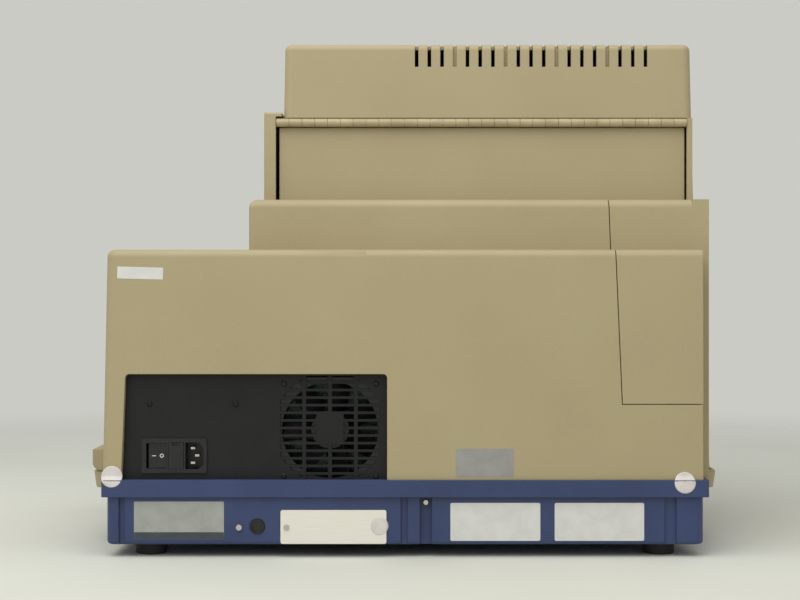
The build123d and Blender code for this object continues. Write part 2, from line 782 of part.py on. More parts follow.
# Cuvette holder under its mouth, and the hatch over it
with BuildPart() as cuvette_holder:
    box_between(cuvette_x - cuvette_flange / 2, cuvette_x + cuvette_flange / 2,
                cuvette_y - cuvette_flange / 2, cuvette_y + cuvette_flange / 2,
                shelf_z - wall - cuvette_flange_thickness, shelf_z - wall)
    box_between(cuvette_x - cuvette_body / 2, cuvette_x + cuvette_body / 2, cuvette_y - cuvette_body / 2,
                cuvette_y + cuvette_body / 2, shelf_z - 2 * wall - cuvette_depth, shelf_z - wall)
    box_between(cuvette_x - cuvette_side / 2, cuvette_x + cuvette_side / 2, cuvette_y - cuvette_side / 2,
                cuvette_y + cuvette_side / 2, shelf_z - wall - cuvette_depth, shelf_z - wall, Mode.SUBTRACT)
save(cuvette_holder, "cuvette_holder")

barrel_half = hatch_width / 2 - hatch_ear - hatch_side_gap
with BuildPart() as cuvette_lid:
    box_between(cuvette_x - hatch_width / 2, cuvette_x + hatch_width / 2, cuvette_y - hatch_length / 2,
                hinge_line_y - hatch_barrel_radius - hatch_side_gap, shelf_z + hatch_gap,
                shelf_z + hatch_gap + hatch_thickness)
    fillet(cuvette_lid.edges().filter_by(Axis.Z), hatch_thickness)
    fillet(cuvette_lid.faces().sort_by(Axis.Z)[-1].edges(), hatch_thickness / 4)
    box_between(cuvette_x - barrel_half, cuvette_x + barrel_half, cuvette_y, hinge_line_y,
                shelf_z + hatch_gap, shelf_z + hatch_gap + hatch_thickness - hatch_thickness / 4)
    with BuildSketch(Plane.YZ.offset(cuvette_x - barrel_half)):
        with Locations((hinge_line_y, hinge_line_z)):
            Circle(hatch_barrel_radius)
    extrude(amount=2 * barrel_half)
    with BuildSketch(Plane.YZ.offset(cuvette_x - hatch_width / 2)):
        with Locations((hinge_line_y, hinge_line_z)):
            Circle(hatch_pin_radius)
    extrude(amount=hatch_width)
save(cuvette_lid, "cuvette_lid")

# Lid: a leaning cap over the bay, with louvres across its back edge
with BuildPart() as lid:
    for right_x, left_x, front_y, level in ((lid_right_low_x, lid_left_low_x, lid_front_low_y, lid_seat_z),
                                            (lid_right_top_x, lid_left_top_x, lid_front_top_y, lid_top_z)):
        with BuildSketch(Plane.XY.offset(level)):
            with Locations(((right_x + left_x) / 2, (front_y + tower_rear_y) / 2)):
                RectangleRounded(left_x - right_x, tower_rear_y - front_y, lid_corner)
    loft(ruled=True)
    fillet(lid.faces().sort_by(Axis.Z)[-1].edges(), lid_round)
    for right_x, left_x, front_y, level in (
            (lid_right_low_x, lid_left_low_x, lid_front_low_y, lid_seat_z - part_gap),
            (lid_right_top_x, lid_left_top_x, lid_front_top_y, lid_top_z - wall)):
        with BuildSketch(Plane.XY.offset(level)):
            rectangle_between(right_x + wall, left_x - wall, front_y + wall, tower_rear_y - wall)
    loft(ruled=True, mode=Mode.SUBTRACT)
    box_between(lid_right_low_x + wall / 2, lid_right_low_x + wall + lid_flange, tower_rear_y - wall,
                tower_rear_y, lid_seat_z, hinge_z + hinge_relief)
    box_between(lid_right_low_x + wall + lid_flange, lid_left_low_x + part_gap, panel_rear_y - 2 * wall,
                tower_rear_y + part_gap, lid_seat_z - part_gap, hinge_z + hinge_relief, Mode.SUBTRACT)
    for number in range(vent_count):
        vent_x = vent_start_x - number * vent_pitch
        box_between(vent_x - vent_width / 2, vent_x + vent_width / 2, tower_rear_y - vent_depth,
                    tower_rear_y + part_gap, vent_low_z, lid_top_z + part_gap, Mode.SUBTRACT)
    for number in range(rib_every - 1, vent_count, rib_every):
        vent_x = vent_start_x - number * vent_pitch
        box_between(vent_x - rib_thickness / 2, vent_x + rib_thickness / 2,
                    tower_rear_y - wall - rib_depth, tower_rear_y - wall, hinge_z + leaf_height + wall,
                    lid_top_z - wall)
        box_between(vent_x - rib_thickness / 2, vent_x + rib_thickness / 2,
                    tower_rear_y - vent_depth - rib_depth, tower_rear_y - wall,
                    lid_top_z - wall - rib_depth, lid_top_z - wall)
save(lid, "lid")


def knuckles(parity):
    """Draw every second barrel length of the piano hinge in the part that is open."""
    for number in range(parity, knuckle_count, 2):
        with Locations((knuckle_start_x - (number + 0.5) * knuckle_pitch, hinge_y, hinge_z)):
            Cylinder(knuckle_radius, knuckle_pitch - knuckle_gap, rotation=(0, 90, 0))


def knuckle_notches(parity, z_low, z_high):
    """Clear the leaf beside the other leaf's barrels."""
    for number in range(parity, knuckle_count, 2):
        notch_x = knuckle_start_x - number * knuckle_pitch
        box_between(notch_x - knuckle_pitch - knuckle_gap / 2, notch_x + knuckle_gap / 2,
                    hinge_y - knuckle_radius - part_gap, hinge_y + knuckle_radius + part_gap, z_low, z_high,
                    Mode.SUBTRACT)


hinge_end_x = knuckle_start_x - knuckle_count * knuckle_pitch
leaf_y = hinge_y - knuckle_radius
leaf_inner_y = panel_rear_y - wall - leaf_thickness
leaf_bend_z = hinge_z - leaf_bend

# Piano hinge: a fixed leaf bent in behind the panel, a moving leaf inside the lid, and one long pin
with BuildPart() as hinge_fixed_leaf:
    box_between(panel_right_x + part_gap, ledge_inner_x - part_gap, leaf_inner_y, leaf_inner_y + leaf_thickness,
                hinge_z - leaf_height, leaf_bend_z + leaf_thickness)
    box_between(panel_right_x + part_gap, ledge_inner_x - part_gap, leaf_inner_y, hinge_y - leaf_reach,
                leaf_bend_z, leaf_bend_z + leaf_thickness)
    knuckle_notches(1, hinge_z - hinge_relief, hinge_z + hinge_relief)
    knuckles(0)
    with BuildSketch(Plane.YZ.offset(hinge_end_x)):
        with Locations((hinge_y, hinge_z)):
            Circle(pin_radius + pin_clearance)
    extrude(amount=knuckle_start_x - hinge_end_x, mode=Mode.SUBTRACT)
save(hinge_fixed_leaf, "hinge_fixed_leaf")

with BuildPart() as hinge_moving_leaf:
    box_between(hinge_end_x + knuckle_gap, lid_left_top_x - wall - part_gap, leaf_y, leaf_y + leaf_thickness,
                hinge_z, hinge_z + leaf_height)
    knuckle_notches(0, hinge_z - hinge_relief, hinge_z + hinge_relief)
    knuckles(1)
    with BuildSketch(Plane.YZ.offset(hinge_end_x)):
        with Locations((hinge_y, hinge_z)):
            Circle(pin_radius + pin_clearance)
    extrude(amount=knuckle_start_x - hinge_end_x, mode=Mode.SUBTRACT)
save(hinge_moving_leaf, "hinge_moving_leaf")

with BuildPart() as hinge_pin:
    with BuildSketch(Plane.YZ.offset(hinge_end_x)):
        with Locations((hinge_y, hinge_z)):
            Circle(pin_radius)
    extrude(amount=knuckle_start_x - hinge_end_x)
save(hinge_pin, "hinge_pin")

# Mains panel: a black sheet with the fan grille punched in it
entry_body_width = entry_width - 2 * entry_wall
entry_body_height = entry_height - 2 * entry_wall
with BuildPart() as power_panel:
    with BuildSketch(back_plane(panel_y)):
        rectangle_between(opening_right_x - panel_margin, opening_left_x + panel_margin,
                          seat_z - 3 * wall, opening_top_z + panel_margin)
        with Locations((entry_x, entry_z)):
            Rectangle(entry_body_width + 2 * fuse_clearance, entry_body_height + 2 * fuse_clearance,
                      mode=Mode.SUBTRACT)
    extrude(amount=panel_sheet)
    with BuildSketch(back_plane(panel_y)):
        with Locations((fan_x, grille_centre_z)):
            with GridLocations(grille_column_pitch, grille_row_pitch, grille_columns, grille_rows):
                Rectangle(grille_slot_width, grille_slot_height)
            Circle(grille_radius, mode=Mode.INTERSECT)
            Rectangle(grille_hub_width, grille_hub_height, mode=Mode.SUBTRACT)
    extrude(amount=panel_sheet, mode=Mode.SUBTRACT)
save(power_panel, "power_panel")

# Mains entry: one moulding with three pockets
with BuildPart() as power_entry:
    with BuildSketch(back_plane(panel_y + entry_bezel)):
        with Locations((entry_x, entry_z)):
            RectangleRounded(entry_width, entry_height, 2)
    extrude(amount=entry_bezel)
    with BuildSketch(back_plane(panel_y)):
        with Locations((entry_x, entry_z)):
            Rectangle(entry_body_width, entry_body_height)
    extrude(amount=entry_depth)
    with BuildSketch(back_plane(panel_y + entry_bezel)):
        with Locations((inlet_x, entry_z)):
            Rectangle(inlet_width, inlet_height)
        chamfer(vertices().group_by(Axis.X)[0], inlet_chamfer)
    extrude(amount=inlet_depth, mode=Mode.SUBTRACT)
    with BuildSketch(back_plane(panel_y + entry_bezel)):
        with Locations((rocker_x, entry_z)):
            Rectangle(rocker_width + 2 * rocker_clearance, rocker_height + 2 * slide_gap)
    extrude(amount=rocker_pocket, mode=Mode.SUBTRACT)
    with BuildSketch(back_plane(panel_y + entry_bezel)):
        with Locations((fuse_x, entry_z)):
            Rectangle(fuse_width + 2 * fuse_clearance, fuse_height + 2 * fuse_clearance)
    extrude(amount=fuse_depth + fuse_clearance, mode=Mode.SUBTRACT)
    with BuildSketch(Plane.XY.offset(entry_z - rocker_height / 2 - rocker_pin_reach)):
        with Locations((rocker_x, rocker_pivot_y)):
            Circle(rocker_pin_radius + pin_clearance)
    extrude(amount=rocker_height + 2 * rocker_pin_reach, mode=Mode.SUBTRACT)
save(power_entry, "power_entry")

# Three flat blades standing in the inlet
with BuildPart() as inlet_pins:
    pin_floor_y = panel_y + entry_bezel - inlet_depth
    with BuildSketch(back_plane(pin_floor_y)):
        with Locations((inlet_x - blade_pin_offset, entry_z),
                       (inlet_x + blade_pin_offset, entry_z - blade_pin_pitch / 2),
                       (inlet_x + blade_pin_offset, entry_z + blade_pin_pitch / 2)):
            Rectangle(blade_pin_width, blade_pin_height)
    extrude(amount=-blade_pin_length)
save(inlet_pins, "inlet_pins")

# Rocker with a hollowed face, stored with its off side pressed in
rocker_profile = ((-rocker_width / 2, 1), (-rocker_width / 2, rocker_depth), (0, rocker_depth - 1.2),
                  (rocker_width / 2, rocker_depth), (rocker_width / 2, 1), (0, -2))
with BuildPart() as rocker_switch:
    with BuildSketch(Plane.XY.offset(entry_z - rocker_height / 2)):
        with Locations(Location((rocker_x, rocker_pivot_y, 0), (0, 0, rocker_tilt))):
            Polygon(*rocker_profile, align=None)
    extrude(amount=rocker_height)
    with BuildSketch(Plane.XY.offset(entry_z - rocker_height / 2 - rocker_pin_reach + slide_gap)):
        with Locations((rocker_x, rocker_pivot_y)):
            Circle(rocker_pin_radius)
    extrude(amount=rocker_height + 2 * rocker_pin_reach - 2 * slide_gap)
save(rocker_switch, "rocker_switch")

# Fuse drawer with a finger notch
with BuildPart() as fuse_drawer:
    box_between(fuse_x - fuse_width / 2, fuse_x + fuse_width / 2, panel_y + entry_bezel - fuse_depth,
                panel_y + entry_bezel, entry_z - fuse_height / 2, entry_z + fuse_height / 2)
    box_between(fuse_x - fuse_width / 4, fuse_x + fuse_width / 4, panel_y, panel_y + entry_bezel,
                entry_z + fuse_height / 2 - fuse_notch, entry_z + fuse_height / 2, Mode.SUBTRACT)
    for side in (-1, 1):
        with BuildSketch(Plane.XY.offset(entry_z + side * fuse_height / 4 - fuse_bore / 2)):
            with Locations((fuse_x, panel_y + entry_bezel - fuse_depth + fuse_bore)):
                Rectangle(fuse_width, fuse_bore)
        extrude(amount=fuse_bore, mode=Mode.SUBTRACT)
save(fuse_drawer, "fuse_drawer")

# Fan: square frame with four spokes, and a seven-blade rotor on its shaft
fan_rear_y = panel_y - panel_sheet
fan_front_y = fan_rear_y - fan_thickness
with BuildPart() as fan_frame:
    with BuildSketch(back_plane(fan_rear_y)):
        with Locations((fan_x, fan_z)):
            RectangleRounded(fan_side, fan_side, 6)
            Circle(fan_duct_radius, mode=Mode.SUBTRACT)
    extrude(amount=fan_thickness)
    with BuildSketch(back_plane(fan_front_y + fan_spoke_depth)):
        with Locations((fan_x, fan_z)):
            Circle(fan_hub_radius)
            Rectangle(2 * fan_duct_radius + fan_spoke, fan_spoke)
            Rectangle(fan_spoke, 2 * fan_duct_radius + fan_spoke)
    extrude(amount=fan_spoke_depth)
    with BuildSketch(back_plane(fan_rear_y - 2 * rotor_gap)):
        with Locations((fan_x, fan_z)):
            Circle(shaft_radius)
    extrude(amount=fan_thickness - 2 * rotor_gap)
save(fan_frame, "fan_frame")

blade_inner = fan_hub_radius - 2 * blade_thickness
blade_outer = fan_duct_radius + blade_thickness
blade_y = (fan_rear_y + fan_front_y + fan_spoke_depth) / 2
blade = Pos((blade_inner + blade_outer) / 2, 0, 0) * Rot(X=blade_angle) * Box(
    blade_outer - blade_inner, blade_thickness, blade_chord)
with BuildPart() as fan_rotor:
    for number in range(blade_count):
        add(Pos(fan_x, blade_y, fan_z) * Rot(Y=number * 360 / blade_count) * blade)
    with BuildSketch(back_plane(fan_rear_y - 2 * rotor_gap)):
        with Locations((fan_x, fan_z)):
            Circle(fan_duct_radius - blade_tip_gap)
    extrude(amount=fan_thickness - fan_spoke_depth - 3 * rotor_gap, mode=Mode.INTERSECT)
    with BuildSketch(back_plane(fan_rear_y - rotor_gap)):
        with Locations((fan_x, fan_z)):
            Circle(fan_hub_radius)
    extrude(amount=fan_thickness - fan_spoke_depth - 2 * rotor_gap)
    with BuildSketch(back_plane(fan_rear_y - 2 * rotor_gap + slide_gap)):
        with Locations((fan_x, fan_z)):
            Circle(shaft_radius + pin_clearance)
    extrude(amount=fan_thickness, mode=Mode.SUBTRACT)
save(fan_rotor, "fan_rotor")

# Domed screws on the mains panel
with BuildPart() as panel_screws:
    with BuildSketch(back_plane(panel_y)):
        with Locations((panel_screw_left_x, panel_screw_high_z), (panel_screw_right_x, panel_screw_high_z)):
            Circle(panel_screw_radius)
        with Locations((fan_x, fan_z)):
            with GridLocations(fan_screw_pitch, fan_screw_pitch, 2, 2):
                Circle(panel_screw_radius)
    extrude(amount=-screw_head)
    chamfer(panel_screws.faces().group_by(Axis.Y)[-1].edges(), screw_head / 2)
save(panel_screws, "panel_screws")

# Bare plate over the unused ports on the back of the base
with BuildPart() as port_cover_plate:
    with BuildSketch(back_plane(base_rear_y)):
        with Locations(((plate_left_x + plate_right_x) / 2, (plate_top_z + plate_bottom_z) / 2)):
            RectangleRounded(plate_left_x - plate_right_x, plate_top_z - plate_bottom_z, plate_corner)
    extrude(amount=-plate_thickness)
save(port_cover_plate, "port_cover_plate")

# Plate screw, earth screw and the hexagon standoff in the groove
with BuildPart() as base_screws:
    with BuildSketch(back_plane(base_rear_y + plate_thickness)):
        with Locations((plate_screw_x, base_screw_z)):
            Circle(base_screw_radius)
    extrude(amount=-screw_head)
    with BuildSketch(back_plane(base_rear_y)):
        with Locations((ground_screw_x, base_screw_z)):
            Circle(base_screw_radius)
    extrude(amount=-2 * screw_head)
    with BuildSketch(back_plane(base_rear_y - bay_groove_depth)):
        with Locations((bay_groove_x, standoff_z)):
            RegularPolygon(standoff_across / 2, 6)
    extrude(amount=-bay_groove_depth + part_gap)
save(base_screws, "base_screws")

# Round data socket in the base's back wall
with BuildPart() as din_socket:
    with BuildSketch(back_plane(base_rear_y + din_flange)):
        with Locations((din_x, din_z)):
            Circle(din_radius)
    extrude(amount=din_depth)
    with BuildSketch(back_plane(base_rear_y + din_flange)):
        with Locations((din_x, din_z)):
            Circle(din_radius - din_flange)
    extrude(amount=2 * din_flange, mode=Mode.SUBTRACT)
save(din_socket, "din_socket")

# Chassis plate, folded down to the base along both sides
with BuildPart() as chassis_plate:
    box_between(chassis_right_x, chassis_left_x, chassis_front_y, chassis_rear_y, chassis_z, deck_surface_z)
    for edge_x in (chassis_right_x, chassis_left_x - chassis_sheet):
        box_between(edge_x, edge_x + chassis_sheet, chassis_front_y, chassis_rear_y, floor_z, chassis_z)
    read_drawer_x = drawer_middle_x + drawer_pitch
    box_between(read_drawer_x - plate_width / 2, read_drawer_x + plate_width / 2, pocket_y - plate_width / 4,
                pocket_y + plate_width / 4, chassis_z, deck_surface_z, Mode.SUBTRACT)
save(chassis_plate, "chassis_plate")

# Three drawers side by side, each a tray on two rails with its own front
drawer_names = ("tip_rack", "compound", "read_plate")
for number, drawer_name in enumerate(drawer_names):
    tray_x = drawer_middle_x + (number - 1) * drawer_pitch
    with BuildPart() as tray:
        box_between(tray_x - tray_width / 2, tray_x + tray_width / 2, tower_front_y,
                    tower_front_y + tray_length, tray_bottom_z, tray_top_z)
        fillet(tray.edges().filter_by(Axis.Z).group_by(Axis.Y)[-1], wall)
        box_between(tray_x - plate_length / 2 - plate_clearance, tray_x + plate_length / 2 + plate_clearance,
                    pocket_y - plate_width / 2 - plate_clearance, pocket_y + plate_width / 2 + plate_clearance,
                    pocket_floor_z, tray_top_z, Mode.SUBTRACT)
        box_between(tray_x - plate_length / 2 + window_margin, tray_x + plate_length / 2 - window_margin,
                    pocket_y - plate_width / 2 + window_margin, pocket_y + plate_width / 2 - window_margin,
                    tray_bottom_z, pocket_floor_z, Mode.SUBTRACT)
        for side in (-1, 1):
            rail_x = tray_x + side * rail_offset
            box_between(rail_x - rail_width / 2 - rail_clearance, rail_x + rail_width / 2 + rail_clearance,
                        tower_front_y, tower_front_y + tray_length, tray_bottom_z,
                        rail_top_z + rail_clearance, Mode.SUBTRACT)
    save(tray, drawer_name + "_tray")
    with BuildPart() as drawer_front:
        with BuildSketch(back_plane(tower_front_y)):
            with Locations((tray_x, (drawer_front_low_z + drawer_front_high_z) / 2)):
                RectangleRounded(drawer_front_width, drawer_front_high_z - drawer_front_low_z, 2)
        extrude(amount=wall)
        chamfer(drawer_front.faces().sort_by(Axis.Y)[0].edges(), part_gap)
    save(drawer_front, drawer_name + "_front")

with BuildPart() as drawer_rails:
    for number in range(len(drawer_names)):
        tray_x = drawer_middle_x + (number - 1) * drawer_pitch
        for side in (-1, 1):
            rail_x = tray_x + side * rail_offset
            box_between(rail_x - rail_width / 2, rail_x + rail_width / 2, rail_front_y, rail_rear_y,
                        deck_surface_z, rail_top_z)
save(drawer_rails, "drawer_rails")

# Gantry: two posts, a hollow beam, a rail and a toothed belt on two pulleys
beam_rear_y = beam_front_y + beam_side
beam_top_z = beam_bottom_z + beam_side
with BuildPart() as gantry_posts:
    for post_x in (beam_right_x, beam_left_x - post_width):
        box_between(post_x, post_x + post_width, beam_front_y, beam_rear_y, deck_surface_z, beam_bottom_z)
        box_between(post_x + post_wall, post_x + post_width - post_wall, beam_front_y + post_wall,
                    beam_rear_y, deck_surface_z, beam_bottom_z - post_wall, Mode.SUBTRACT)
save(gantry_posts, "gantry_posts")

with BuildPart() as gantry_beam:
    with BuildSketch(Plane.YZ.offset(beam_right_x)):
        with Locations(((beam_front_y + beam_rear_y) / 2, (beam_bottom_z + beam_top_z) / 2)):
            RectangleRounded(beam_side, beam_side, beam_wall)
            Rectangle(beam_side - 2 * beam_wall, beam_side - 2 * beam_wall, mode=Mode.SUBTRACT)
    extrude(amount=beam_left_x - beam_right_x)
    with BuildSketch(back_plane(beam_rear_y)):
        with Locations((drive_pulley_x, pulley_z)):
            Circle(shaft_radius + slide_gap)
    extrude(amount=beam_side, mode=Mode.SUBTRACT)
    with BuildSketch(back_plane(beam_front_y)):
        with Locations((idler_pulley_x, pulley_z)):
            Circle(shaft_radius)
    extrude(amount=pulley_width + 2 * slide_gap)
save(gantry_beam, "gantry_beam")

with BuildPart() as x_rail:
    box_between(beam_right_x, beam_left_x, beam_front_y - x_rail_depth, beam_front_y,
                x_rail_z - x_rail_height / 2, x_rail_z + x_rail_height / 2)
    for side in (-1, 1):
        with BuildSketch(Plane.YZ.offset(beam_right_x)):
            with Locations((beam_front_y - x_rail_depth / 2, x_rail_z + side * x_rail_height / 2)):
                Rectangle(rail_groove, 2 * rail_groove)
        extrude(amount=beam_left_x - beam_right_x, mode=Mode.SUBTRACT)
save(x_rail, "x_rail")

with BuildPart() as x_motor:
    with BuildSketch(back_plane(beam_rear_y + motor_length)):
        with Locations((drive_pulley_x, pulley_z)):
            RectangleRounded(motor_side, motor_side, motor_round)
    extrude(amount=motor_length)
    with BuildSketch(back_plane(beam_rear_y)):
        with Locations((drive_pulley_x, pulley_z)):
            Circle(shaft_radius)
    extrude(amount=beam_side + pulley_width + 2 * slide_gap)
save(x_motor, "x_motor")

for pulley_x, pulley_name in ((drive_pulley_x, "drive_pulley"), (idler_pulley_x, "idler_pulley")):
    with BuildPart() as pulley:
        with BuildSketch(back_plane(beam_front_y - slide_gap)):
            with Locations((pulley_x, pulley_z)):
                Circle(pulley_radius)
                with PolarLocations(pulley_radius, pulley_teeth):
                    Circle(pulley_tooth_radius, mode=Mode.SUBTRACT)
        extrude(amount=pulley_width)
        with BuildSketch(back_plane(beam_front_y - slide_gap)):
            with Locations((pulley_x, pulley_z)):
                Circle(shaft_radius + pin_clearance)
        extrude(amount=pulley_width, mode=Mode.SUBTRACT)
    save(pulley, pulley_name)

belt_y = beam_front_y - slide_gap - (pulley_width - belt_width) / 2
belt_inner = pulley_radius + belt_gap
belt_outer = belt_inner + belt_thickness
belt_span = drive_pulley_x - idler_pulley_x
with BuildPart() as x_belt:
    with BuildSketch(back_plane(belt_y)):
        with Locations(((drive_pulley_x + idler_pulley_x) / 2, pulley_z)):
            SlotCenterToCenter(belt_span, 2 * belt_outer)
            SlotCenterToCenter(belt_span, 2 * belt_inner, mode=Mode.SUBTRACT)
    extrude(amount=belt_width)
save(x_belt, "x_belt")

# Carriage along the beam, with the upright rail for the head
plate_front_y = carriage_back_y - carriage_plate
z_rail_front_y = plate_front_y - z_rail_depth
carriage_left_x = carriage_park_x + carriage_width / 2
carriage_right_x = carriage_park_x - carriage_width / 2
grip_low_z = x_rail_z - x_rail_height
grip_high_z = pulley_z - pulley_radius - 2 * belt_gap - belt_thickness
with BuildPart() as x_carriage:
    box_between(carriage_right_x, carriage_left_x, plate_front_y, carriage_back_y, carriage_bottom_z,
                carriage_top_z)
    box_between(carriage_right_x, carriage_left_x, carriage_back_y, beam_front_y - 1, grip_low_z, grip_high_z)
    box_between(carriage_right_x, carriage_left_x, beam_front_y - x_rail_depth - slide_gap, beam_front_y,
                x_rail_z - x_rail_height / 2 - slide_gap, x_rail_z + x_rail_height / 2 + slide_gap,
                Mode.SUBTRACT)
    box_between(carriage_park_x - z_rail_width / 2, carriage_park_x + z_rail_width / 2, z_rail_front_y,
                plate_front_y, carriage_bottom_z, carriage_top_z)
    box_between(carriage_right_x, carriage_left_x, screw_y - z_motor_side / 2, plate_front_y,
                carriage_top_z - carriage_cap, carriage_top_z)
    with BuildSketch(Plane.XY.offset(carriage_top_z)):
        with Locations((carriage_park_x, screw_y)):
            Circle(screw_radius + pin_clearance)
    extrude(amount=-carriage_cap, mode=Mode.SUBTRACT)
save(x_carriage, "x_carriage")

with BuildPart() as z_motor:
    with BuildSketch(Plane.XY.offset(carriage_top_z)):
        with Locations((carriage_park_x, screw_y)):
            RectangleRounded(z_motor_side, z_motor_side, motor_round)
    extrude(amount=z_motor_height)
save(z_motor, "z_motor")

with BuildPart() as z_screw:
    with BuildSketch(Plane.XY.offset(carriage_bottom_z)):
        with Locations((carriage_park_x, screw_y)):
            Circle(screw_radius)
    extrude(amount=carriage_top_z - carriage_bottom_z - slide_gap)
save(z_screw, "z_screw")

# Head: a bracket on the upright rail, an arm forward and the block of eight bores
bracket_top_z = bracket_bottom_z + bracket_height
head_left_x = carriage_park_x + carriage_width / 2
head_right_x = carriage_park_x - carriage_width / 2
head_block_top_z = head_bottom_z + head_block_height
with BuildPart() as head_body:
    box_between(head_right_x, head_left_x, head_back_y, plate_front_y - 1, bracket_bottom_z, bracket_top_z)
    box_between(carriage_park_x - z_rail_width / 2 - slide_gap, carriage_park_x + z_rail_width / 2 + slide_gap,
                z_rail_front_y - slide_gap, plate_front_y, bracket_bottom_z, bracket_top_z, Mode.SUBTRACT)
    box_between(head_right_x, head_left_x, head_back_y - head_plate, head_back_y, head_bottom_z,
                head_top_z)
    box_between(head_right_x, head_left_x, head_front_y, head_back_y, head_bottom_z, head_block_top_z)
    box_between(head_right_x, head_left_x, head_front_y, head_back_y, head_top_z - head_plate, head_top_z)
    with BuildSketch(Plane.XY.offset(bracket_top_z)):
        with Locations((carriage_park_x, screw_y)):
            Circle(screw_radius + pin_clearance)
    extrude(amount=-bracket_height, mode=Mode.SUBTRACT)
    with BuildSketch(Plane.XY.offset(head_block_top_z)):
        with Locations((carriage_park_x, channel_y)):
            with GridLocations(0, channel_pitch, 1, channel_count):
                Circle(piston_radius + piston_clearance)
    extrude(amount=-head_block_height + wall, mode=Mode.SUBTRACT)
    with BuildSketch(Plane.XY.offset(head_top_z)):
        with Locations((carriage_park_x, channel_y)):
            Circle(plunger_shaft_radius + pin_clearance)
    extrude(amount=-head_plate, mode=Mode.SUBTRACT)
save(head_body, "head_body")

with BuildPart() as nozzles:
    with BuildSketch(Plane.XY.offset(head_bottom_z)):
        with Locations((carriage_park_x, channel_y)):
            with GridLocations(0, channel_pitch, 1, channel_count):
                Circle(nozzle_top_radius)
    extrude(amount=nozzle_length, dir=(0, 0, -1), taper=nozzle_taper)
save(nozzles, "nozzles")

piston_length = plunger_z - head_bottom_z - 2 * wall - plunger_travel
with BuildPart() as plunger_plate:
    box_between(head_right_x + wall / 2, head_left_x - wall / 2, channel_y - channel_count * channel_pitch / 2,
                channel_y + channel_count * channel_pitch / 2, plunger_z, plunger_z + plunger_thickness)
    with BuildSketch(Plane.XY.offset(plunger_z)):
        with Locations((carriage_park_x, channel_y)):
            with GridLocations(0, channel_pitch, 1, channel_count):
                Circle(piston_radius)
    extrude(amount=-piston_length)
    with BuildSketch(Plane.XY.offset(plunger_z + plunger_thickness)):
        with Locations((carriage_park_x, channel_y)):
            Circle(plunger_shaft_radius)
    extrude(amount=head_top_z + plunger_motor_height - plunger_z - plunger_thickness - wall)
save(plunger_plate, "plunger_plate")

with BuildPart() as plunger_motor:
    with BuildSketch(Plane.XY.offset(head_top_z)):
        with Locations((carriage_park_x, channel_y)):
            RectangleRounded(plunger_motor_side, plunger_motor_side, motor_round)
            Circle(plunger_shaft_radius + pin_clearance, mode=Mode.SUBTRACT)
    extrude(amount=plunger_motor_height)
save(plunger_motor, "plunger_motor")

# Power supply in a louvred case, behind the mains entry
with BuildPart() as power_supply:
    box_between(psu_x - psu_width / 2, psu_x + psu_width / 2, psu_y - psu_length / 2, psu_y + psu_length / 2,
                floor_z, floor_z + psu_height)
    fillet(power_supply.edges().filter_by(Axis.Z), beam_wall)
    with BuildSketch(Plane.XY.offset(floor_z + psu_height)):
        with Locations((psu_x, psu_y)):
            with GridLocations(psu_width / 3, psu_slot_pitch, 2, psu_slots):
                SlotOverall(psu_width / 4, psu_slot_pitch / 3)
    extrude(amount=-wall, mode=Mode.SUBTRACT)
save(power_supply, "power_supply")

# Main board standing behind the fan on two feet
with BuildPart() as main_board:
    box_between(board_x - board_width / 2, board_x + board_width / 2, board_y, board_y + board_sheet,
                board_z, board_z + board_height)
    for side in (-1, 1):
        foot_middle_x = board_x + side * board_width / 3
        box_between(foot_middle_x - 2 * wall, foot_middle_x + 2 * wall, board_y - 3 * wall, board_y,
                    floor_z, board_z + 2 * wall)
    with BuildSketch(back_plane(board_y + board_sheet)):
        with Locations((board_x, board_z + board_height / 2)):
            with GridLocations(board_width / 4, board_height / 4, 3, 3):
                Rectangle(chip_width, chip_height)
    extrude(amount=-chip_rise)
    with BuildSketch(back_plane(board_y + board_sheet)):
        with Locations((board_x, board_z + board_height - chip_height)):
            Rectangle(board_width / 2, chip_height / 2)
    extrude(amount=-2 * chip_rise)
save(main_board, "main_board")

# Optics housing with a lens tube up to the read drawer, and its flash lamp
with BuildPart() as optics_housing:
    box_between(optics_x - optics_width / 2, optics_x + optics_width / 2, optics_y - optics_length / 2,
                optics_y + optics_length / 2, floor_z, floor_z + optics_height - wall)
    fillet(optics_housing.edges().filter_by(Axis.Z), motor_round)
    with BuildSketch(Plane.XY.offset(floor_z + optics_height - wall)):
        with Locations((optics_x, optics_y)):
            RectangleRounded(optics_width - 4 * wall, optics_length - 4 * wall, motor_round)
    extrude(amount=wall)
save(optics_housing, "optics_housing")

with BuildPart() as flash_lamp:
    with BuildSketch(Plane.YZ.offset(optics_x - optics_width / 2)):
        with Locations((optics_y, floor_z + optics_height / 2)):
            Circle(lamp_radius)
    extrude(amount=-lamp_length)
    with BuildSketch(Plane.YZ.offset(optics_x - optics_width / 2)):
        with Locations((optics_y, floor_z + optics_height / 2)):
            Circle(lamp_radius + wall)
    extrude(amount=-wall)
    for number in range(lamp_fins):
        with BuildSketch(Plane.YZ.offset(optics_x - optics_width / 2 - lamp_length + number * 2 * wall)):
            with Locations((optics_y, floor_z + optics_height / 2)):
                Circle(lamp_radius + wall)
        extrude(amount=wall / 2)
save(flash_lamp, "flash_lamp")
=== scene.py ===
import math

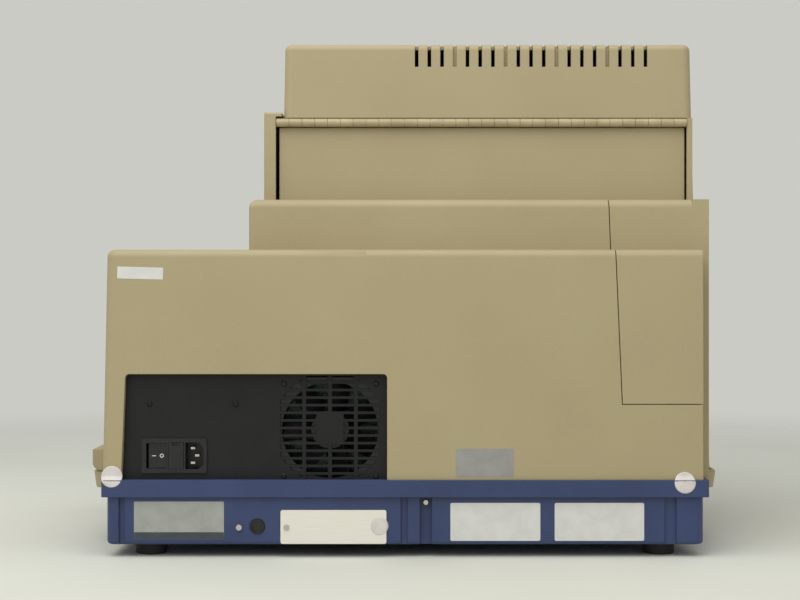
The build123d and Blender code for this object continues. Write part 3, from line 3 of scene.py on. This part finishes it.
import bmesh
import bpy
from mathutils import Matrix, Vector


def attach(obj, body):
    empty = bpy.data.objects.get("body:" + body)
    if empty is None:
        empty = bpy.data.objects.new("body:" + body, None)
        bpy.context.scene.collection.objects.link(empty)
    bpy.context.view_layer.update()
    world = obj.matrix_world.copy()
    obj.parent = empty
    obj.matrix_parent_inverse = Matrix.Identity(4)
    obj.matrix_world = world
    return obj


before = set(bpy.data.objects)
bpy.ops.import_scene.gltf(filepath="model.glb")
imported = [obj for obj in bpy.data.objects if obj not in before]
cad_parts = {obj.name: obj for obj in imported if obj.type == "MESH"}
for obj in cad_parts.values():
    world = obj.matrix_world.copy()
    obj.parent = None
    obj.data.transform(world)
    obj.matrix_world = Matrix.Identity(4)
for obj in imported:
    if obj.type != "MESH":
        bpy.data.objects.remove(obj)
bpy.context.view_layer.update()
mm = 0.001
scene = bpy.context.scene
print("frame loaded with", len(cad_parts), "nodes")


# sRGB hex to linear RGBA
def hexColour(code):
    parts = [int(code[i:i + 2], 16) / 255 for i in (0, 2, 4)]
    return [c / 12.92 if c <= 0.04045 else ((c + 0.055) / 1.055) ** 2.4 for c in parts] + [1.0]


# one node with its attributes, its socket values and the links that come in
def addNode(tree, kind, settings=None, values=None, links=None):
    node = tree.nodes.new(kind)
    for name, value in (settings or {}).items():
        setattr(node, name, value)
    for name, value in (values or {}).items():
        node.inputs[name].default_value = value
    for name, source in (links or {}).items():
        tree.links.new(source, node.inputs[name])
    return node


def startMaterial(name, shaderValues):
    material = bpy.data.materials.new(name)
    material.use_nodes = True
    tree = material.node_tree
    shader = tree.nodes["Principled BSDF"]
    for socket, value in shaderValues.items():
        shader.inputs[socket].default_value = value
    place = addNode(tree, "ShaderNodeTexCoord").outputs["Object"]
    return material, tree, shader, place


# how fine the drift between two shades is, and where in its noise the first and last shade lie
drift = {"detail": 3.0, "edges": (0.35, 0.65)}


# a colour that drifts between two shades in patches of the given size
def mottled(tree, place, patch, low, high):
    noise = addNode(tree, "ShaderNodeTexNoise", values={"Scale": 1 / patch, "Detail": drift["detail"]},
                    links={"Vector": place})
    ramp = addNode(tree, "ShaderNodeValToRGB", links={"Fac": noise.outputs["Fac"]})
    for element, edge, code in zip(ramp.color_ramp.elements, drift["edges"], (low, high)):
        element.position = edge
        element.color = hexColour(code)
    return ramp.outputs["Color"]


# the share of its range that a noise really fills, which the roughness is spread over
noiseReach = {"From Min": 0.3, "From Max": 0.7}


# relief on a surface whose edges are rounded in shading by the given radius
def relief(tree, shader, height, depth, edge):
    rounded = addNode(tree, "ShaderNodeBevel", {"samples": 4}, {"Radius": edge})
    bump = addNode(tree, "ShaderNodeBump", values={"Distance": depth, "Strength": 1.0},
                   links={"Height": height, "Normal": rounded.outputs["Normal"]})
    tree.links.new(bump.outputs["Normal"], shader.inputs["Normal"])


# roughness that wanders between two values with a noise
def unevenRoughness(tree, shader, source, low, high):
    spread = addNode(tree, "ShaderNodeMapRange",
                     values={**noiseReach, "To Min": low, "To Max": high},
                     links={"Value": source})
    tree.links.new(spread.outputs["Result"], shader.inputs["Roughness"])


tanPaint = {
    "dark": "a69874", "light": "aa9d78", "speck": "b3a684",
    "pebble": 1.5 * mm,      # real pebbles are 0.4 mm, drawn coarser so that they show
    "patch": 110 * mm, "depth": 0.05 * mm, "edge": 1.0 * mm,
}
bluePaint = {
    "dark": "2c395f", "light": "324069", "speck": "3f4d78",
    "pebble": 1.3 * mm, "patch": 70 * mm, "depth": 0.04 * mm, "edge": 1.0 * mm,
}


# which peaks of the pebble turn pale, and by how much at most
paintSpeckles = {"From Min": 0.55, "From Max": 0.8, "To Max": 0.5}


# ABS mouldings sprayed with texture paint: a matt pebble that breaks up every highlight
def texturePaintedAbs(name, look, roughness):
    material, tree, shader, place = startMaterial(name, {"IOR": 1.5})
    shades = mottled(tree, place, look["patch"], look["dark"], look["light"])
    pebble = addNode(tree, "ShaderNodeTexNoise", values={"Scale": 1 / look["pebble"], "Detail": 2.0},
                     links={"Vector": place}).outputs["Fac"]
    speckles = addNode(tree, "ShaderNodeMapRange", values=paintSpeckles,
                       links={"Value": pebble}).outputs["Result"]
    colour = addNode(tree, "ShaderNodeMix", {"data_type": "RGBA"}, {7: hexColour(look["speck"])},
                     {0: speckles, 6: shades}).outputs[2]
    tree.links.new(colour, shader.inputs["Base Color"])
    unevenRoughness(tree, shader, pebble, *roughness)
    relief(tree, shader, pebble, look["depth"], look["edge"])
    return material


blackPaint = {"dark": "151416", "light": "1c1b1d", "pebble": 1.1 * mm, "patch": 60 * mm,
              "depth": 0.04 * mm, "edge": 0.5 * mm, "roughness": (0.42, 0.55)}


# steel sheet, powder coated black: fine orange peel, a dull sheen at flat angles
def powderCoatedSteel():
    material, tree, shader, place = startMaterial("powderCoatedSteel",
                                                  {"IOR": 1.5, "Specular IOR Level": 0.3})
    shades = mottled(tree, place, blackPaint["patch"], blackPaint["dark"], blackPaint["light"])
    peel = addNode(tree, "ShaderNodeTexVoronoi", values={"Scale": 1 / blackPaint["pebble"]},
                   links={"Vector": place}).outputs["Distance"]
    tree.links.new(shades, shader.inputs["Base Color"])
    unevenRoughness(tree, shader, peel, *blackPaint["roughness"])
    relief(tree, shader, peel, blackPaint["depth"], blackPaint["edge"])
    return material


mouldGrain = {"patch": 25 * mm, "edge": 0.4 * mm}


# moulded plastics and rubber: the mould's spark grain softens the shine, and edges catch a thin light
def mouldedPlastic(name, dark, light, roughness, grain=0.8 * mm, depth=0.02 * mm):
    material, tree, shader, place = startMaterial(name, {"IOR": 1.5})
    shades = mottled(tree, place, mouldGrain["patch"], dark, light)
    spark = addNode(tree, "ShaderNodeTexNoise", values={"Scale": 1 / grain, "Detail": 3.0},
                    links={"Vector": place}).outputs["Fac"]
    tree.links.new(shades, shader.inputs["Base Color"])
    unevenRoughness(tree, shader, spark, *roughness)
    relief(tree, shader, spark, depth, mouldGrain["edge"])
    return material


metalEdge = 0.3 * mm


# metals whose making leaves lines along one axis: the lines stretch the highlight across them
def linedMetal(name, dark, light, roughness, stretch, line=0.5 * mm, depth=0.01 * mm, metallic=1.0):
    material, tree, shader, place = startMaterial(name, {"Metallic": metallic})
    along = addNode(tree, "ShaderNodeMapping", values={"Scale": stretch},
                    links={"Vector": place}).outputs["Vector"]
    lines = addNode(tree, "ShaderNodeTexNoise", values={"Scale": 1 / line, "Detail": 4.0},
                    links={"Vector": along}).outputs["Fac"]
    ramp = addNode(tree, "ShaderNodeValToRGB", links={"Fac": lines})
    for element, at, code in zip(ramp.color_ramp.elements, (0.3, 0.7), (dark, light)):
        element.position = at
        element.color = hexColour(code)
    tree.links.new(ramp.outputs["Color"], shader.inputs["Base Color"])
    unevenRoughness(tree, shader, lines, *roughness)
    relief(tree, shader, lines, depth, metalEdge)
    return material


windowLook = {"patch": 12 * mm, "dark": "20261f", "light": "2a3128", "smear": 9 * mm,
              "roughness": (0.05, 0.12)}


# acrylic window over the display, polished: dark and clear, with a clean reflection
def tintedAcrylic():
    material, tree, shader, place = startMaterial("tintedAcrylic", {"IOR": 1.49, "Coat Weight": 0.3})
    shades = mottled(tree, place, windowLook["patch"], windowLook["dark"], windowLook["light"])
    tree.links.new(shades, shader.inputs["Base Color"])
    smear = addNode(tree, "ShaderNodeTexNoise", values={"Scale": 1 / windowLook["smear"]},
                    links={"Vector": place}).outputs["Fac"]
    unevenRoughness(tree, shader, smear, *windowLook["roughness"])
    return material


boardLook = {"cell": 4 * mm, "copper": "3f8a55", "mask": "1d5a36", "edges": (0.04, 0.09),
             "roughness": (0.22, 0.34), "depth": 0.03 * mm, "edge": 0.2 * mm}


# glass-fibre board with green solder mask: glossy, paler where the copper runs under the mask
def solderMask():
    material, tree, shader, place = startMaterial("solderMask", {"IOR": 1.5})
    cells = addNode(tree, "ShaderNodeTexVoronoi", {"distance": "CHEBYCHEV", "feature": "DISTANCE_TO_EDGE"},
                    {"Scale": 1 / boardLook["cell"]}, {"Vector": place}).outputs["Distance"]
    tracks = addNode(tree, "ShaderNodeValToRGB", links={"Fac": cells})
    for element, at, code in zip(tracks.color_ramp.elements, boardLook["edges"],
                                 (boardLook["copper"], boardLook["mask"])):
        element.position = at
        element.color = hexColour(code)
    tree.links.new(tracks.outputs["Color"], shader.inputs["Base Color"])
    unevenRoughness(tree, shader, cells, *boardLook["roughness"])
    relief(tree, shader, cells, boardLook["depth"], boardLook["edge"])
    return material


# how far the lines of a lined metal are stretched along an axis
alongX = (0.02, 1.0, 1.0)
alongZ = (1.0, 1.0, 0.02)

# paint and enamel: the covers and base look dry and soft, the thin hinge enamel keeps a low sheen
tanAbs = texturePaintedAbs("texturePaintedTanAbs", tanPaint, (0.48, 0.62))
blueAbs = texturePaintedAbs("texturePaintedBlueAbs", bluePaint, (0.40, 0.55))
blackSteel = powderCoatedSteel()
hingeEnamel = mouldedPlastic("enamelledHingeSteel", "a4956f", "b2a47e", (0.30, 0.42), 1.2 * mm, 0.01 * mm)

# plastics and rubber: black parts stay matt, nylon shines a little, feet and belt look dull and dusty
blackAbs = mouldedPlastic("sparkErodedBlackAbs", "131214", "1a191b", (0.34, 0.48))
glossNylon = mouldedPlastic("glossBlackNylon", "131213", "1b1a1b", (0.2, 0.3), 1.4 * mm, 0.008 * mm)
rubber = mouldedPlastic("mouldedRubber", "1a1a19", "242423", (0.65, 0.8), 1.0 * mm, 0.05 * mm)
trayAcetal = mouldedPlastic("machinedBlackAcetal", "232325", "2e2e30", (0.35, 0.5), 0.6 * mm)
keySilicone = mouldedPlastic("mouldedSilicone", "4b5162", "565d70", (0.5, 0.62), 0.7 * mm)
beltRubber = mouldedPlastic("mouldedBeltRubber", "1d1c1b", "292725", (0.6, 0.75))

# metals: the cover plate looks silky, and its near-white, half-diffuse colour is partly a painted
# reflection of lamp glare; mill stock plain and grey, nickel and brass bright, zinc cloudy
plateMetalWithPaintedGlare = linedMetal("brushedAluminiumWithPaintedGlare", "ece7dc", "f6f2e9", (0.3, 0.42), alongX, metallic=0.5)
millMetal = linedMetal("millFinishAluminium", "a9abac", "c3c5c6", (0.3, 0.45), alongX, 1.2 * mm)
nickel = linedMetal("nickelPlatedSteel", "b8b4ab", "cfccc4", (0.14, 0.26), alongZ, 1.0 * mm, 0.002 * mm)
groundSteel = linedMetal("groundSteel", "8f9193", "b0b2b4", (0.18, 0.3), alongX, 0.6 * mm)
zincSteel = linedMetal("zincPlatedSteel", "8f9290", "b2b5b2", (0.32, 0.48), (1, 1, 1), 6 * mm)
blackScrew = linedMetal("blackOxideSteel", "2a2a2b", "3c3b3b", (0.3, 0.45), (1, 1, 1), 1.0 * mm)
brass = linedMetal("nickelPlatedBrass", "c8c2b4", "dcd7ca", (0.15, 0.25), alongZ, 1.0 * mm, 0.002 * mm)

window = tintedAcrylic()
board = solderMask()

finishes = [
    (tanAbs, ["rear_cover", "side_cover", "tower_side_wall", "hinge_panel", "front_bezel", "control_deck",
              "lid", "lower_band", "tip_rack_front", "compound_front", "read_plate_front", "cuvette_lid"]),
    (blueAbs, ["base_pan"]),
    (blackSteel, ["power_panel"]),
    (hingeEnamel, ["hinge_fixed_leaf", "hinge_moving_leaf"]),
    (blackAbs, ["power_entry", "fuse_drawer", "fan_frame", "fan_rotor", "display_module", "cuvette_holder",
                "optics_housing", "x_carriage"]),
    (glossNylon, ["rocker_switch", "din_socket"]),
    (rubber, ["feet"]),
    (trayAcetal, ["tip_rack_tray", "compound_tray", "read_plate_tray"]),
    (keySilicone, ["temperature_key", "down_key", "up_key", "drawer_key", "read_key", "start_key"]),
    (beltRubber, ["x_belt"]),
    # the cover plate's pale colour is partly painted lamp glare
    (plateMetalWithPaintedGlare, ["port_cover_plate"]),
    (millMetal, ["chassis_plate", "gantry_posts", "gantry_beam", "head_body", "plunger_plate",
                 "drive_pulley", "idler_pulley"]),
    (nickel, ["hinge_pin", "base_screws", "nozzles"]),
    (groundSteel, ["drawer_rails", "x_rail", "z_screw"]),
    (zincSteel, ["power_supply", "x_motor", "z_motor", "plunger_motor", "flash_lamp"]),
    (blackScrew, ["panel_screws"]),
    (brass, ["inlet_pins"]),
    (window, ["display_window"]),
    (board, ["main_board"]),
]
for material, nodeNames in finishes:
    for nodeName in nodeNames:
        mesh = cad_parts[nodeName].data
        mesh.materials.clear()
        mesh.materials.append(material)
print("materials on", sum(len(names) for _, names in finishes), "nodes")


cornerSteps = 6


# a plate cut with rounded corners that faces +Y: outline in X and Z, its back at y = 0
def cutPlate(name, width, height, corner, thickness):
    shape = bmesh.new()
    ring = []
    for turn, (sx, sz) in enumerate(((1, 1), (-1, 1), (-1, -1), (1, -1))):
        centre = Vector((sx * (width / 2 - corner), 0, sz * (height / 2 - corner)))
        for step in range(cornerSteps + 1):
            angle = math.radians(90 * turn + 90 * step / cornerSteps)
            ring.append(shape.verts.new(centre + Vector((math.cos(angle), 0, math.sin(angle))) * corner))
    face = shape.faces.new(ring)
    lifted = bmesh.ops.extrude_face_region(shape, geom=[face])
    bmesh.ops.translate(shape, vec=(0, thickness, 0),
                        verts=[v for v in lifted["geom"] if isinstance(v, bmesh.types.BMVert)])
    bmesh.ops.recalc_face_normals(shape, faces=shape.faces)
    mesh = bpy.data.meshes.new(name)
    shape.to_mesh(mesh)
    shape.free()
    return mesh


stockLook = {"patch": 14 * mm, "fibre": 0.9 * mm, "depth": 0.01 * mm, "edge": 0.1 * mm}


# printed paper and film: faint fibres, and a dull print
def labelStock(name, dark, light, roughness, metallic=0.0):
    material, tree, shader, place = startMaterial(name, {"IOR": 1.48, "Metallic": metallic})
    shades = mottled(tree, place, stockLook["patch"], dark, light)
    tree.links.new(shades, shader.inputs["Base Color"])
    fibres = addNode(tree, "ShaderNodeTexNoise", values={"Scale": 1 / stockLook["fibre"], "Detail": 4.0},
                     links={"Vector": place}).outputs["Fac"]
    unevenRoughness(tree, shader, fibres, *roughness)
    relief(tree, shader, fibres, stockLook["depth"], stockLook["edge"])
    return material


# films lie smooth and half glossy, the seals are dry paper
whiteFilm = labelStock("whitePolyesterFilm", "cfcfca", "d8d8d3", (0.35, 0.45))
silverFilm = labelStock("metallisedPolyesterFilm", "9fa19c", "aaaca6", (0.3, 0.42), 0.35)
greyFilm = labelStock("greyPolyesterFilm", "8f8f8b", "989893", (0.35, 0.45))
darkPrint = labelStock("darkGreyPrint", "3a3e44", "43474d", (0.35, 0.45))
paperSeal = labelStock("uncoatedPaper", "cdc8c2", "dad5cf", (0.6, 0.75))

# where a flat piece of the given X and Z lies on the back of the reader, all in millimetres
baseBackY = 221.0
lipBackY = 225.0
coverFootY = 222.0
coverFootZ = 73.4
coverTopZ = 292.0
coverLean = 3.8
platePlace = {"rightX": 17.8, "backY": 222.5}
filmLift = 0.06       # keeps the back of a film clear of the surface, so neither flickers through
filmThickness = 0.12


def coverFaceY(z):
    return coverFootY - coverLean * (z - coverFootZ) / (coverTopZ - coverFootZ)


def stretched(value, low, high, atLow, atHigh):
    share = min(max((value - low) / (high - low), 0.0), 1.0)
    return atLow + (atHigh - atLow) * share


# y None means that the label lies on the leaning rear cover
labels = {
    "rating_label": {"x": (171.8, 257.1), "z": (17.4, 53.0), "y": baseBackY, "corner": 1.0,
                     "stock": silverFilm},
    "rating_band": {"x": (171.9, 257.0), "z": (17.5, 23.9), "y": baseBackY + 0.1, "corner": 0.9,
                    "stock": darkPrint},
    "base_label_outer": {"x": (-226.5, -141.7), "z": (15.7, 51.7), "y": baseBackY, "corner": 1.5,
                         "stock": whiteFilm},
    "base_label_inner": {"x": (-128.1, -42.9), "z": (15.7, 51.7), "y": baseBackY, "corner": 1.5,
                         "stock": whiteFilm},
    "cover_label_grey": {"x": (-102.8, -48.1), "z": (76.6, 102.9), "y": None, "corner": 1.2,
                         "stock": greyFilm},
    "cover_label_small": {"x": (229.8, 273.4), "z": (263.9, 275.3), "y": None, "corner": 0.8,
                          "stock": whiteFilm, "turn": -1.5},
}
for name, label in labels.items():
    (x0, x1), (z0, z1) = label["x"], label["z"]
    middleZ = (z0 + z1) / 2
    mesh = cutPlate(name, (x1 - x0) * mm, (z1 - z0) * mm, label["corner"] * mm,
                    filmThickness * mm)
    piece = bpy.data.objects.new(name, mesh)
    onCover = label["y"] is None
    faceY = coverFaceY(middleZ) if onCover else label["y"]
    lean = math.atan2(coverLean, coverTopZ - coverFootZ) if onCover else 0.0
    piece.rotation_euler = (lean, math.radians(label.get("turn", 0.0)), 0)
    piece.location = ((x0 + x1) / 2 * mm, (faceY + filmLift) * mm, middleZ * mm)
    mesh.materials.append(label["stock"])
    scene.collection.objects.link(piece)
    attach(piece, "housing")
print("labels stuck on")


rings, spokes = 9, 48


# a round paper seal that bends over the step it was stuck across
def stickSeal(name, centreX, centreZ, radius, faceY):
    shape = bmesh.new()
    middle = shape.verts.new((centreX * mm, (faceY(centreX, centreZ) + filmLift) * mm, centreZ * mm))
    inner = None
    for ring in range(1, rings + 1):
        row = []
        for spoke in range(spokes):
            angle = math.tau * spoke / spokes
            x = centreX + radius * ring / rings * math.cos(angle)
            z = centreZ + radius * ring / rings * math.sin(angle)
            row.append(shape.verts.new((x * mm, (faceY(x, z) + filmLift) * mm, z * mm)))
        for spoke in range(spokes):
            nextSpoke = (spoke + 1) % spokes
            if inner is None:
                shape.faces.new((middle, row[nextSpoke], row[spoke]))
            else:
                shape.faces.new((inner[spoke], inner[nextSpoke], row[nextSpoke], row[spoke]))
        inner = row
    bmesh.ops.recalc_face_normals(shape, faces=shape.faces)
    mesh = bpy.data.meshes.new(name)
    shape.to_mesh(mesh)
    shape.free()
    mesh.materials.append(paperSeal)
    for face in mesh.polygons:
        face.use_smooth = True
    piece = bpy.data.objects.new(name, mesh)
    scene.collection.objects.link(piece)
    thick = piece.modifiers.new("paper", "SOLIDIFY")
    thick.thickness = filmThickness * mm
    thick.offset = 0
    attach(piece, "housing")


lipSeam = {"low": 72.6, "high": 77.0}     # the paper bridges the step between lip and cover here
plateEdge = {"foot": 1.5, "top": 0.2}     # and comes off the cover plate's edge over this distance


def overLip(x, z):
    if z >= lipSeam["high"]:
        return coverFaceY(z)
    return stretched(z, lipSeam["low"], lipSeam["high"], lipBackY, coverFaceY(lipSeam["high"]))


def overPlateEdge(x, z):
    return stretched(x, platePlace["rightX"] - plateEdge["foot"], platePlace["rightX"] + plateEdge["top"],
                     baseBackY, platePlace["backY"])


seals = {
    "left_seal": {"centre": (277.9, 76.7), "radius": 10.0, "over": overLip},
    "right_seal": {"centre": (-264.8, 71.0), "radius": 10.0, "over": overLip},
    "port_seal": {"centre": (24.3, 29.9), "radius": 8.5, "over": overPlateEdge},
}
for name, seal in seals.items():
    stickSeal(name, *seal["centre"], seal["radius"], seal["over"])
print("seals stuck on")

rocker = {"x": 236.8, "pivotY": 206.0, "z": 95.6, "tilt": 8.0, "width": 16.6, "depth": 7.5, "hollow": 1.2,
          "barAt": 3.4, "barHalf": 1.9, "ringAt": -3.9, "ringRadius": 1.9, "line": 0.75, "lift": 0.08}
ringSteps = 32


# the printed mark's place on the rocker's tilted and hollowed face
def onRocker(across, up):
    half = rocker["width"] / 2
    faceY = rocker["depth"] - rocker["hollow"] * (1 - abs(across) / half) + rocker["lift"]
    tilt = math.radians(rocker["tilt"])
    x = rocker["x"] + across * math.cos(tilt) - faceY * math.sin(tilt)
    y = rocker["pivotY"] + across * math.sin(tilt) + faceY * math.cos(tilt)
    return (x * mm, y * mm, (rocker["z"] + up) * mm)


switchInk = labelStock("padPrintedWhiteInk", "d5d6d4", "dfe0de", (0.4, 0.5))
shape = bmesh.new()
halfBar, halfLine = rocker["barHalf"], rocker["line"] / 2
bar = [shape.verts.new(onRocker(rocker["barAt"] + a, b))
       for a, b in ((-halfBar, -halfLine), (halfBar, -halfLine), (halfBar, halfLine), (-halfBar, halfLine))]
shape.faces.new(bar)
rim = []
for step in range(ringSteps):
    angle = math.tau * step / ringSteps
    rim.append([shape.verts.new(onRocker(rocker["ringAt"] + r * math.cos(angle), r * math.sin(angle)))
                for r in (rocker["ringRadius"] - rocker["line"], rocker["ringRadius"])])
for step in range(ringSteps):
    following = rim[(step + 1) % ringSteps]
    shape.faces.new((rim[step][0], rim[step][1], following[1], following[0]))
bmesh.ops.recalc_face_normals(shape, faces=shape.faces)
marksMesh = bpy.data.meshes.new("switch_marks")
shape.to_mesh(marksMesh)
shape.free()
marksMesh.materials.append(switchInk)
marks = bpy.data.objects.new("switch_marks", marksMesh)
scene.collection.objects.link(marks)
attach(marks, "rocker")
print("switch marks printed")

# the lens stands where the photograph was taken from, straight behind the reader
camera = {"place": (4.9 * mm, 1725 * mm, 244 * mm), "lens": 71.4, "sensor": 36}
lens = bpy.data.cameras.new("photoLens")
lens.lens = camera["lens"]
lens.sensor_width = camera["sensor"]
viewer = bpy.data.objects.new("photoCamera", lens)
viewer.location = camera["place"]
viewer.rotation_euler = (math.radians(90), 0, math.radians(180))
scene.collection.objects.link(viewer)
scene.camera = viewer

# two soft boxes, the stronger one overhead, so that the top edges catch light and the back stays even
studio = {
    "floor": ("d2d3c8", "d8d9ce"), "patch": 400 * mm, "halfFloor": 4.0, "backdrop": "cbcbc6",
    "ambient": 0.52, "fade": (0.9, 2.0),
    "lamps": [
        {"name": "ceilingBox", "place": (0.3, 0.8, 1.9), "aim": (0, 0.1, 0.2), "size": (2.2, 1.4),
         "watts": 24},
        {"name": "backBox", "place": (0.9, 2.2, 1.8), "aim": (0, 0, 0.3), "size": (1.6, 1.2),
         "watts": 17},
    ],
}
for lamp in studio["lamps"]:
    light = bpy.data.lights.new(lamp["name"], "AREA")
    light.shape = "RECTANGLE"
    light.size, light.size_y = lamp["size"]
    light.energy = lamp["watts"]
    box = bpy.data.objects.new(lamp["name"], light)
    box.location = lamp["place"]
    box.rotation_euler = (Vector(lamp["aim"]) - Vector(lamp["place"])).to_track_quat("-Z", "Y").to_euler()
    scene.collection.objects.link(box)

world = bpy.data.worlds.new("studioWorld")
scene.world = world
world.use_nodes = True
worldTree = world.node_tree
worldTree.nodes.clear()
# the lens, reflections and clear parts see the pale wall, and everything else gets plain white light
path = addNode(worldTree, "ShaderNodeLightPath")
seen = addNode(worldTree, "ShaderNodeMath", {"operation": "MAXIMUM"},
               links={0: path.outputs["Is Camera Ray"], 1: path.outputs["Is Glossy Ray"]})
seenAll = addNode(worldTree, "ShaderNodeMath", {"operation": "MAXIMUM"},
                  links={0: seen.outputs[0], 1: path.outputs["Is Transmission Ray"]})
ambient = addNode(worldTree, "ShaderNodeBackground",
                  values={"Color": (1, 1, 1, 1), "Strength": studio["ambient"]})
pale = addNode(worldTree, "ShaderNodeBackground",
               values={"Color": hexColour(studio["backdrop"]), "Strength": 1.0})
blend = addNode(worldTree, "ShaderNodeMixShader",
                links={0: seenAll.outputs[0], 1: ambient.outputs[0], 2: pale.outputs[0]})
addNode(worldTree, "ShaderNodeOutputWorld", links={"Surface": blend.outputs[0]})

# matt paper floor that fades into the wall with distance, so no horizon line shows
floorMaterial, floorTree, floorShader, floorPlace = startMaterial("matteStudioPaper",
                                                                  {"Roughness": 0.8, "IOR": 1.45})
floorDrift = mottled(floorTree, floorPlace, studio["patch"], *studio["floor"])
floorTree.links.new(floorDrift, floorShader.inputs["Base Color"])
reach = addNode(floorTree, "ShaderNodeVectorMath", {"operation": "LENGTH"},
                links={0: floorPlace}).outputs["Value"]
faded = addNode(floorTree, "ShaderNodeMapRange", {"interpolation_type": "SMOOTHSTEP"},
                {"From Min": studio["fade"][0], "From Max": studio["fade"][1]}, {"Value": reach})
clear = addNode(floorTree, "ShaderNodeBsdfTransparent")
joined = addNode(floorTree, "ShaderNodeMixShader",
                 links={0: faded.outputs["Result"], 1: floorShader.outputs[0], 2: clear.outputs[0]})
floorTree.links.new(joined.outputs[0], floorTree.nodes["Material Output"].inputs["Surface"])
floorMesh = bpy.data.meshes.new("studioFloor")
floorShape = bmesh.new()
bmesh.ops.create_grid(floorShape, x_segments=8, y_segments=8, size=studio["halfFloor"])
floorShape.to_mesh(floorMesh)
floorShape.free()
floorMesh.materials.append(floorMaterial)
floor = bpy.data.objects.new("studioFloor", floorMesh)
scene.collection.objects.link(floor)
scene.view_settings.view_transform = "Standard"
print("studio set")
